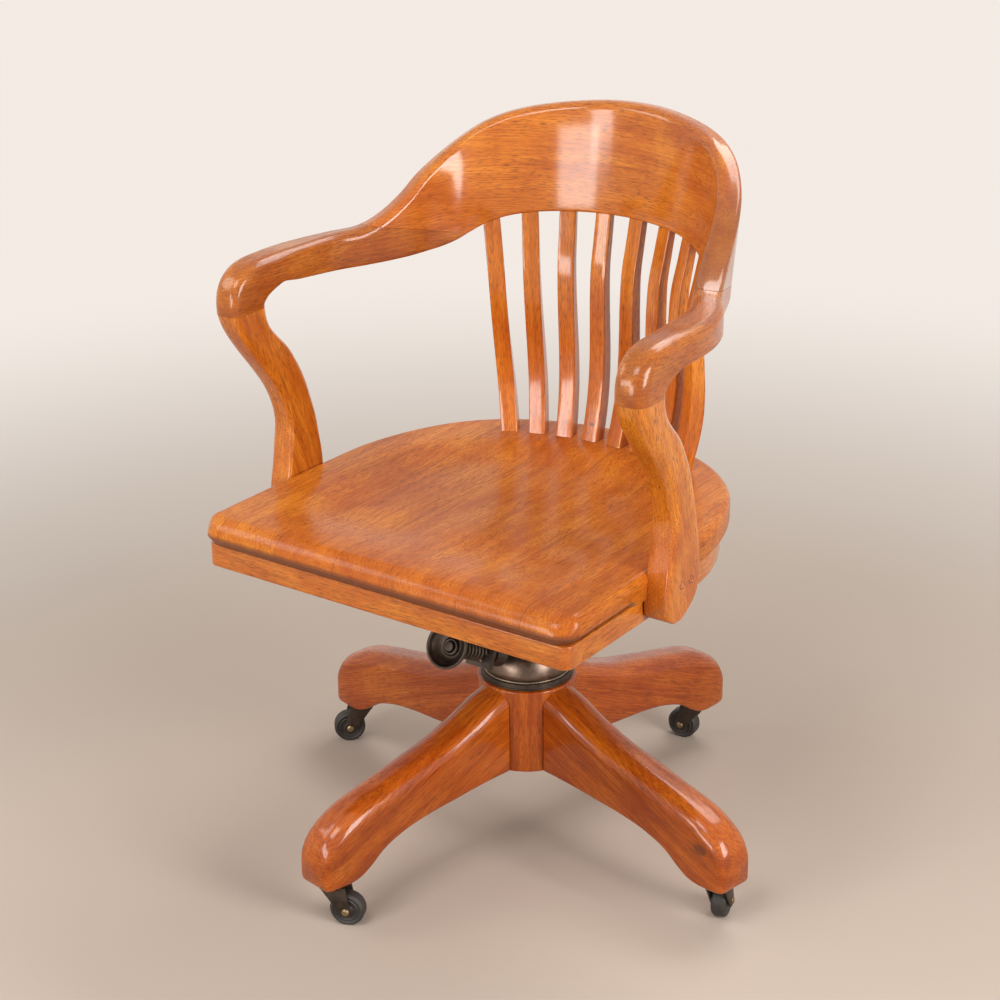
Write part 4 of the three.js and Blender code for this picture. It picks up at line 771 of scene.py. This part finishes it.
rings = [seatRing(lambda a, o: mix(seat["ease"], seat["chamfer"], chamfered(a, o)),
                  lambda a, o: seat["bottom"], chamferShade),
         seatRing(lambda a, o: seat["lipInset"], lambda a, o: chamferTop(a, o) - seat["lipBelow"],
                  chamferShade),
         seatRing(lambda a, o: 0, lambda a, o: chamferTop(a, o) + seat["lipAbove"],
                  lambda a, o: seat["beadShade"] * frontal(a, o)),
         seatRing(lambda a, o: 0, roundFoot, lambda a, o: seat["faceShade"] * frontal(a, o))]
for k in range(1, 13):
    turn = pi / 2 * k / 12
    lowest = beadTop + seat["quirk"] + seat["rowStep"] * k
    rings.append(seatRing(lambda a, o: roundOf(a, o) * (1 - cos(turn)),
                          lambda a, o: max(seatTop - drop(a, o) * (1 - sin(turn)), lowest),
                          lambda a, o: seat["noseShade"] * frontal(a, o) * (k == 1)))
rim = rings[-1]
for k in range(1, 40):
    share = 1 - k / 40
    rows = []
    for row in rim:
        x, y = mix(centre.x, row[0], share), mix(centre.y, row[1], share)
        rows.append([x, y, seatHeight(x, y), 0, 0, 0, 0])
    rings.append(rows)

# boards run front to back; the rings swell round one swirl near the front
swirl = dict(x=60, y=-145, wide=42, deep=70, high=26, boardOffset=57, along=300)


def seatGrain(p):
    swell = exp(-((p.x - swirl["x"]) / swirl["wide"]) ** 2 - ((p.y - swirl["y"]) / swirl["deep"]) ** 2)
    return p.y + swirl["along"], p.x + swirl["boardOffset"], p.z - seatTop + swirl["high"] * swell


finishPiece(loft(rings), "seatBoard", "seat", ["seat_board"], seatMat, 40, seatGrain)
print("seat made")

# seat frame
frameUnder = dict(top=423.2, height=27, thick=26, half=247, arc=39, front=-283, frontThick=28, corner=12,
                  ease=1.4, arcSteps=96)
low, high = frameUnder["top"] - frameUnder["height"], frameUnder["top"]
half, back = frameUnder["half"], frameUnder["front"] + frameUnder["frontThick"]
inner, corner, ease = half - frameUnder["thick"], frameUnder["corner"], frameUnder["ease"]


def cornerArc(x, start):
    turns = [start + pi / 2 * k / 8 for k in range(9)]
    return [(x + corner * cos(a), frameUnder["front"] + corner + corner * sin(a)) for a in turns]


railOutline = cornerArc(corner - half, pi) + cornerArc(half - corner, -pi / 2)
railOutline = [(-half, back)] + railOutline + [(half, back)]
bm = newMesh()
plate(bm, [(x, y, low) for x, y in railOutline], (0, 0, high - low), ease, 3)
finishPiece(bm, "frontRail", "seat", ["front_rail"], oakMat, 40, lambda p: (p.x + 700, p.z, p.y))
for side, name in ((1, "Left"), (-1, "Right")):
    near, far = sorted((side * inner, side * half))
    bm = newMesh()
    block(bm, (near, back + gap, low), (far, -frameUnder["arc"] - gap / 2, high), ease)
    finishPiece(bm, "sideRail" + name, "seat", ["side_rail_" + name.lower()], oakMat, 40,
                lambda p: (p.y + 1100 * side, p.z, p.x))
arcY = -frameUnder["arc"] + gap / 2
section = roundedSection(inner, half, low, high, [(ease,) * 2] * 4, [3, 3, 3, 3], 3)
rings = []
for k in range(frameUnder["arcSteps"] + 1):
    turn = pi * k / frameUnder["arcSteps"]
    rings.append([[r * cos(turn), arcY + r * sin(turn), z, half * turn, z, r, 0] for r, z in section])
finishPiece(loft(rings), "backRail", "seat", ["back_rail"], oakMat, 40)

# cross battens, cut to clear the curved rail
batten = dict(half=30, thick=20, ease=1.5, front=-120, rear=55)
for name in ("front", "rear"):
    y = batten[name]
    far = y + batten["half"] + frameUnder["arc"]
    reach = (inner if far <= 0 else sqrt(inner ** 2 - far ** 2)) * cos(pi / 40) - gap
    bm = newMesh()
    block(bm, (-reach, y - batten["half"], high - batten["thick"]), (reach, y + batten["half"], high),
          batten["ease"])
    finishPiece(bm, name + "Batten", "seat", [name + "_batten"], oakMat, 40,
                lambda p: (p.x + y * 9, p.y, p.z))
print("seat frame made")

# bow: plan and form rows as in the part; turns first, then the run out to the arm
bow = dict(radius=223.5, centreY=-13, low=733, height=134, thick=27, armTop=727.5, width=44, half=267,
           belly=7, roll=5, reach=213, kneeDrop=58, kneeGrain=12, scarfY=2, scarfZ=732,
           scarfFall=radians(13.2), lean=radians(7), bevelIn=17, bevelDown=11, backRound=5, armRound=11,
           ease=3, shade=0.55, paintedShadeFrom=165, paintedShadeRun=50)
planRows = [(t, None) for t in (0, 0.09, 0.18, 0.27, 0.35, 0.43, 0.5, 0.56, 0.615, 0.67, 0.73, 0.79)]
planRows += [(0.28, 0.05), (0.68, 0.2), (0.9, 0.35), (1, 0.53)]
formRows = [
    (-0.011, 0.985, 0, 1, 0), (-0.013, 0.977, 0, 1, 0), (-0.02, 0.953, 0, 1, 0), (-0.031, 0.921, 0, 1, 0),
    (-0.048, 0.883, 0, 1, 0), (-0.076, 0.829, 0, 1, 0.1), (-0.12, 0.755, 0, 1, 0.25),
    (-0.18, 0.664, 0.02, 0.95, 0.45), (-0.238, 0.57, 0.05, 0.85, 0.6), (-0.272, 0.473, 0.09, 0.7, 0.7),
    (-0.287, 0.363, 0.14, 0.5, 0.8), (-0.294, 0.236, 0.2, 0.3, 0.9), (-0.299, 0.005, 0.36, 0, 1),
    (-0.3, -0.02, 0.66, 0, 1), (-0.299, -0.031, 0.88, 0, 0.9), (-0.296, -0.038, 1, 0, 0.6)]
kneeRows = [
    (0.6, 0.4, 0.64, 0.99, 0.98), (0.645, 0.34, 0.77, 0.965, 0.95), (0.681, 0.27, 0.868, 0.87, 0.91),
    (0.707, 0.2, 0.94, 0.68, 0.87), (0.722, 0.13, 0.976, 0.46, 0.85), (0.73, 0.065, 0.988, 0.22, 0.835),
    (0.725, 0, 0.987, 0, 0.82)]
kneeZ = bow["armTop"] - bow["kneeDrop"]


def bowRings():
    plan = []
    for a, b in planRows:
        if b is None:
            turn = a * pi / 2
            plan.append(Vector((bow["radius"] * sin(turn), bow["centreY"] + bow["radius"] * cos(turn), 0)))
        else:
            plan.append(Vector((mix(bow["radius"], bow["half"], a), -bow["reach"] * b - bow["centreY"], 0)))
    rings, length = [], 0.0
    for k, (p, (low, high, wide, lean, roll)) in enumerate(zip(plan, formRows)):
        before = Vector((-plan[1].x, plan[1].y, 0)) if k == 0 else plan[k - 1]
        ahead = (plan[min(k + 1, len(plan) - 1)] - before).normalized()
        length += (p - plan[k - 1]).length if k else 0
        outward = Vector((-ahead.y, ahead.x, 0))
        thick = mix(bow["thick"], bow["width"], wide)
        tilt = bow["lean"] * lean
        bottom, top = bow["low"] + bow["height"] * low, bow["low"] + bow["height"] * high
        behind, bevelIn, bevelDown = (mix(bow[key], bow["armRound"], wide)
                                      for key in ("backRound", "bevelIn", "bevelDown"))
        corners = [(bow["ease"],) * 2, (bow["ease"],) * 2, (behind, behind), (bevelIn, bevelDown)]
        ring = roundedSection(-thick / 2, thick / 2, 0, (top - bottom) / cos(tilt), corners, [5, 5, 8, 8], 5)
        rows = []
        for x, y in ring:
            out, up = x / thick + 0.5, y * cos(tilt) / (top - bottom)
            sink = roll * (bow["belly"] * (1 - out) * (1 - up) + bow["roll"] * out * up)
            at = Vector((p.x, p.y, bottom - sink)) + outward * (x * cos(tilt) + y * sin(tilt))
            at.z += y * cos(tilt) - x * sin(tilt)
            rows.append([*at, length, at.z, x, 0])
        rings.append(rows)
    last = len(kneeRows) - 1
    for k, (inY, inZ, outY, outZ, wide) in enumerate(kneeRows):
        inside = Vector((-bow["reach"] * inY, kneeZ + bow["kneeDrop"] * inZ))
        outside = Vector((-bow["reach"] * outY, kneeZ + bow["kneeDrop"] * outZ))
        half = bow["width"] / 2 * wide
        up = (outside - inside).normalized()
        shift = mix(bow["half"], postMiddle + post["splay"], k / last)
        corners = [(bow["ease"], post["innerRound"]), (bow["ease"], post["round"]),
                   (post["round"], post["round"]), (post["round"], post["innerRound"])]
        ring = roundedSection(-half, half, 0, (outside - inside).length,
                              [(mix(a, b, k / last),) * 2 for a, b in corners], [5, 5, 8, 8], 5)
        rows = []
        for x, y in ring:
            at = inside + up * y
            along = length + bow["kneeGrain"] - at.x - bow["reach"] * planRows[-1][1]
            rows.append([shift + x, at.x, at.y, along, at.y, x, 0])
        rings.append(rows)
    other = [[[-x, y, z, -along, *rest] for x, y, z, along, *rest in ring] for ring in reversed(rings[1:])]
    rings = other + rings
    marks = [0.0]
    for a, b in zip(rings, rings[1:]):
        marks.append(marks[-1] + sum((Vector(p[:3]) - Vector(q[:3])).length for p, q in zip(a, b)) / len(a))
    return refineRings(rings, 6, marks)


wholeBow = bowRings()
scarfNormal = Vector((0, sin(bow["scarfFall"]), cos(bow["scarfFall"])))
scarfSpot = Vector((0, bow["scarfY"], bow["scarfZ"]))


def bowPart(above, side=0):
    bm = loft(wholeBow)
    sign = 1 if above else -1
    cuts = [(scarfSpot + scarfNormal * (sign * gap / 2), -scarfNormal * sign)]
    if side:
        cuts.append((Vector((0, 0, 0)), Vector((-side, 0, 0))))
    for spot, away in cuts:
        bmesh.ops.bisect_plane(bm, geom=bm.verts[:] + bm.edges[:] + bm.faces[:], dist=0.001, plane_co=spot,
                               plane_no=away, clear_outer=True, clear_inner=False)
        rims = [e for e in bm.edges if len(e.link_faces) == 1]
        if rims:
            bmesh.ops.edgeloop_fill(bm, edges=rims)
    return bm


# the crest's right end is darkened towards the dark colour: painted shade
finishPiece(bowPart(True), "crestRail", "seat", ["crest_rail"], oakMat, 35,
            toneFrom=lambda p: bow["shade"] * smooth((p.x - bow["paintedShadeFrom"]) / bow["paintedShadeRun"]))
for side, name in ((1, "Left"), (-1, "Right")):
    finishPiece(bowPart(False, side), "arm" + name, "seat", ["arm_" + name.lower()], armMat, 35)
print("bow made")

# slats
slat = dict(count=8, width=20.5, depth=17.5, radius=276, y=161, foot=radians(7.25), head=radians(12.4),
            setback=3.5, bow=9, edge=1.4, boardShift=(317, 20), along=1300)
slatRows = [(0, 0, 1.22), (0.1, 0.5, 1.2), (0.22, 0.86, 1.14), (0.36, 0.72, 1.06), (0.5, 0.2, 0.98),
            (0.64, -0.38, 0.9), (0.78, -0.66, 0.78), (0.9, -0.36, 0.68), (1.06, 0, 0.6)]


def headRise(turn):
    share = abs(turn) / (pi / 2)
    turns = [a for a, b in planRows if b is None]
    k = max(1, next(i for i, a in enumerate(turns) if a >= share))
    return mix(formRows[k - 1][0], formRows[k][0], (share - turns[k - 1]) / (turns[k] - turns[k - 1]))


for k in range(slat["count"]):
    place = k - (slat["count"] - 1) / 2
    footTurn, headTurn = place * slat["foot"], place * slat["head"]
    footY = slat["y"] - slat["radius"] * (1 - cos(footTurn))
    foot = Vector((slat["radius"] * sin(footTurn), footY, seatTop + gap))
    far = bow["radius"] - bow["thick"] / 2 + slat["setback"]
    headZ = bow["low"] + bow["height"] * headRise(headTurn)
    head = Vector((far * sin(headTurn), far * cos(headTurn) + bow["centreY"], headZ))
    along0, across0 = (k * shift for shift in slat["boardShift"])
    rings = []
    for up, push, deep in refine(slatRows, 6):
        turn = mix(footTurn, headTurn, up)
        outward, aside = Vector((sin(turn), cos(turn), 0)), Vector((cos(turn), -sin(turn), 0))
        spot = foot.lerp(head, up) + outward * slat["bow"] * push
        ring = roundedSection(-slat["width"] / 2, slat["width"] / 2, 0, slat["depth"] * deep,
                              [(slat["edge"],) * 2] * 4, [3, 3, 3, 3], 4)
        along = spot.z + slat["along"] + along0
        rings.append([[*(spot + aside * x + outward * y), along, x + across0, y, 0] for x, y in ring])
    finishPiece(loft(rings), "slat%d" % (k + 1), "seat", ["slat_%d" % (k + 1)], oakMat, 50)
print("slats made")

# casters
caster = dict(reach=314, plate=17, plateThick=3, tube=8, depth=34, cap=2.6, stem=4.8, stemGap=2, crown=14,
              crownHeight=6, crownEase=3, trail=19, wheel=20.5, width=18, hub=6.5, bead=13, dish=1.6, tyre=6,
              tyreEase=3, fork=2.6, clear=1, cheekDrop=0.6, eye=7.5, bridge=4.5, axle=3, head=4.8,
              headFace=2.9, headThick=1.8)
casterYaws = [radians(a) for a in (22, 104, 184, 222)]
plateTop = base["foot"] - gap
plateBottom = plateTop - caster["plateThick"]
socketTop = base["foot"] + caster["depth"]
stemHole = socketTop - caster["cap"]
stemTop = stemHole - caster["stemGap"]
crownTop = plateBottom - gap
crownBottom = crownTop - caster["crownHeight"]
forkInner = caster["width"] / 2 + caster["clear"]
forkOuter = forkInner + caster["fork"]
for k in range(4):
    angle = baseYaw - pi / 2 + k * pi / 2
    spot = Vector((caster["reach"] * cos(angle), caster["reach"] * sin(angle), 0))
    here = Matrix.Translation(spot) @ Matrix.Rotation(casterYaws[k] - pi / 2, 4, "Z")
    number = k + 1
    stem, crown, tube, flange = caster["stem"], caster["crown"], caster["tube"], caster["plate"]
    bm = turned([(0, socketTop), (tube, socketTop), (tube, plateTop), (flange, plateTop),
                 (flange, plateBottom), (stem + gap, plateBottom), (stem + gap, stemHole), (0, stemHole)],
                0.7, 3, 40)
    bmesh.ops.translate(bm, vec=spot, verts=bm.verts)
    finishPiece(bm, "casterSocket%d" % number, "base", ["caster_socket_%d" % number], ironMat)

    # fork: crown and stem, two cheeks round the axle's eye, and a bridge between them
    bm = turned([(0, crownBottom), (crown * 0.8, crownBottom), (crown, crownBottom + caster["crownEase"]),
                 (crown, crownTop), (stem, crownTop), (stem, stemTop), (0, stemTop)], 0.8, 3, 40)
    eyeArc = [(caster["trail"] + caster["eye"] * cos(a), caster["wheel"] + caster["eye"] * sin(a))
              for a in [-3 * pi / 4 + pi * i / 14 for i in range(15)]]
    cheekTop = crownTop - caster["cheekDrop"]
    shape = [(-crown * 0.9, cheekTop)] + eyeArc + [(crown * 1.35, cheekTop)]
    for start in (-forkOuter, forkInner):
        plate(bm, [(start, y, z) for y, z in shape], (caster["fork"], 0, 0), 0.6, 2)
    block(bm, (-forkOuter, -crown * 0.8, crownTop - caster["bridge"]),
          (forkOuter, crown * 0.95, crownTop), 0.8, 2)
    bmesh.ops.transform(bm, matrix=here, verts=bm.verts)
    finishPiece(bm, "casterFork%d" % number, "caster %d" % number, ["caster_fork_%d" % number], ironMat)

    # wheel: half its profile, then the same mirrored
    half, r, bead, hubSide = caster["width"] / 2, caster["wheel"], caster["bead"], caster["hub"]
    face, bore = half - caster["dish"], caster["axle"] + gap
    wheelShape = [(bore, -half), (hubSide, -half), (hubSide * 1.15, -face), (bead * 0.88, -face),
                  (bead, -half), (bead * 1.12, -face), (r - caster["tyre"], -face),
                  (r - caster["tyreEase"], -half), (r, -half + caster["tyreEase"])]
    wheelShape += [(radius, -x) for radius, x in reversed(wheelShape)]
    axis = dict(origin=(0, caster["trail"], r), axis=(1, 0, 0))
    bm = turned(wheelShape, 1.2, 4, 64, True, **axis)
    bmesh.ops.transform(bm, matrix=here, verts=bm.verts)
    finishPiece(bm, "casterWheel%d" % number, "wheel %d" % number, ["caster_wheel_%d" % number], rubberMat)

    end, pin, head, flat = forkOuter + gap, caster["axle"], caster["head"], caster["headFace"]
    tip = end + caster["headThick"]
    bm = turned([(0, -tip), (flat, -tip), (head, -end), (pin, -end), (pin, end), (head, end), (flat, tip),
                 (0, tip)], 0.7, 4, 32, **axis)
    bmesh.ops.transform(bm, matrix=here, verts=bm.verts)
    finishPiece(bm, "casterAxle%d" % number, "caster %d" % number, ["caster_axle_%d" % number], brassMat)
print("casters made")

# ironwork kept from the frame
for name, material in (("tilt_yoke", ironMat), ("tilt_pin", steelMat), ("seat_iron", ironMat)):
    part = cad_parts[name]
    part.data.materials.clear()
    part.data.materials.append(material)

# floor, world, lamps, camera: a plain pale studio; far from the chair the floor is seen as the backdrop
studio = dict(backdrop=(0.90, 0.83, 0.77), floorLit=(0.36, 0.29, 0.24), floorSeen=(0.56, 0.47, 0.40),
              floorSize=40, fadeOver=4, fade=[(0.12, 0.0), (0.6, 1.0)], ambient=0.2,
              lampColour=(1.0, 0.98, 0.95), lampTarget=(0, 0, 0.45))


# 1 for the rays that show the background, also in metal and glass
def seenRays(tree):
    path = node(tree, "ShaderNodeLightPath").outputs
    mirrored = math(tree, "MAXIMUM", path["Is Glossy Ray"], path["Is Transmission Ray"])
    return math(tree, "MAXIMUM", path["Is Camera Ray"], mirrored)


def makeFloor():
    bm = bmesh.new()
    bmesh.ops.create_grid(bm, x_segments=1, y_segments=1, size=studio["floorSize"])
    mesh = bpy.data.meshes.new("floor")
    bm.to_mesh(mesh)
    bm.free()
    floor = bpy.data.objects.new("floor", mesh)
    scene.collection.objects.link(floor)
    material, tree, shader = newMaterial("paleFloor")
    shader.inputs["Roughness"].default_value = 0.9
    shader.inputs["Specular IOR Level"].default_value = 0.1
    place = node(tree, "ShaderNodeTexCoord").outputs["Object"]
    far = node(tree, "ShaderNodeVectorMath", {0: place}, operation="LENGTH").outputs["Value"]
    far = ramp(tree, math(tree, "DIVIDE", far, studio["fadeOver"]), studio["fade"], True)
    seen = seenRays(tree)
    pale = blendColour(tree, seen, studio["floorLit"], studio["floorSeen"])
    tree.links.new(pale, shader.inputs["Base Color"])
    glow = node(tree, "ShaderNodeEmission", Strength=1.0, Color=(*studio["backdrop"], 1))
    blend = node(tree, "ShaderNodeMixShader",
                 {0: math(tree, "MULTIPLY", far, seen), 1: shader.outputs[0], 2: glow.outputs[0]})
    tree.links.new(blend.outputs[0], tree.nodes["Material Output"].inputs["Surface"])
    mesh.materials.append(material)


makeFloor()
lamps = [
    dict(name="window", place=(-0.15, -2.3, 0.62), size=(1.0, 0.6), power=16),
    dict(name="low", place=(-0.7, -2.07, 1.05), size=(0.5, 0.6), power=8),
    dict(name="front", place=(0.0, -1.6, 2.5), size=(1.2, 0.8), power=22),
    dict(name="side", place=(2.3, -0.35, 1.15), size=(0.9, 1.3), power=46),
    dict(name="rear", place=(0.2, 1.4, 2.4), size=(1.6, 0.9), power=26),
    dict(name="left", place=(-1.5, -1.1, 1.9), size=(0.9, 0.9), power=10)]
for lamp in lamps:
    data = bpy.data.lights.new(lamp["name"], "AREA")
    data.shape = "RECTANGLE"
    data.size, data.size_y = lamp["size"]
    data.energy, data.color = lamp["power"], studio["lampColour"]
    light = bpy.data.objects.new(lamp["name"], data)
    light.location = lamp["place"]
    towards = Vector(studio["lampTarget"]) - light.location
    light.rotation_euler = towards.to_track_quat("-Z", "Y").to_euler()
    scene.collection.objects.link(light)

world = bpy.data.worlds.new("studio")
world.use_nodes = True
tree = world.node_tree
background = tree.nodes["Background"]
strength = math(tree, "MULTIPLY", seenRays(tree), 1 - studio["ambient"])
tree.links.new(math(tree, "ADD", strength, studio["ambient"]), background.inputs["Strength"])
background.inputs["Color"].default_value = (*studio["backdrop"], 1)
scene.world = world

view = dict(lens=81.6, sensor=36, shift=-0.0215, place=(1.402, -2.023, 1.450), turn=34.85, tip=67.6,
            roll=-0.33)
shot = bpy.data.cameras.new("photoView")
shot.lens, shot.sensor_width, shot.shift_x = view["lens"], view["sensor"], view["shift"]
camera = bpy.data.objects.new("photoView", shot)
camera.location = view["place"]
aim = Matrix.Identity(3)
for name, axis in (("turn", "Z"), ("tip", "X"), ("roll", "Z")):
    aim = aim @ Matrix.Rotation(radians(view[name]), 3, axis)
camera.rotation_euler = aim.to_euler()
scene.collection.objects.link(camera)
scene.camera = camera
scene.view_settings.view_transform = "Standard"
print("stage set")
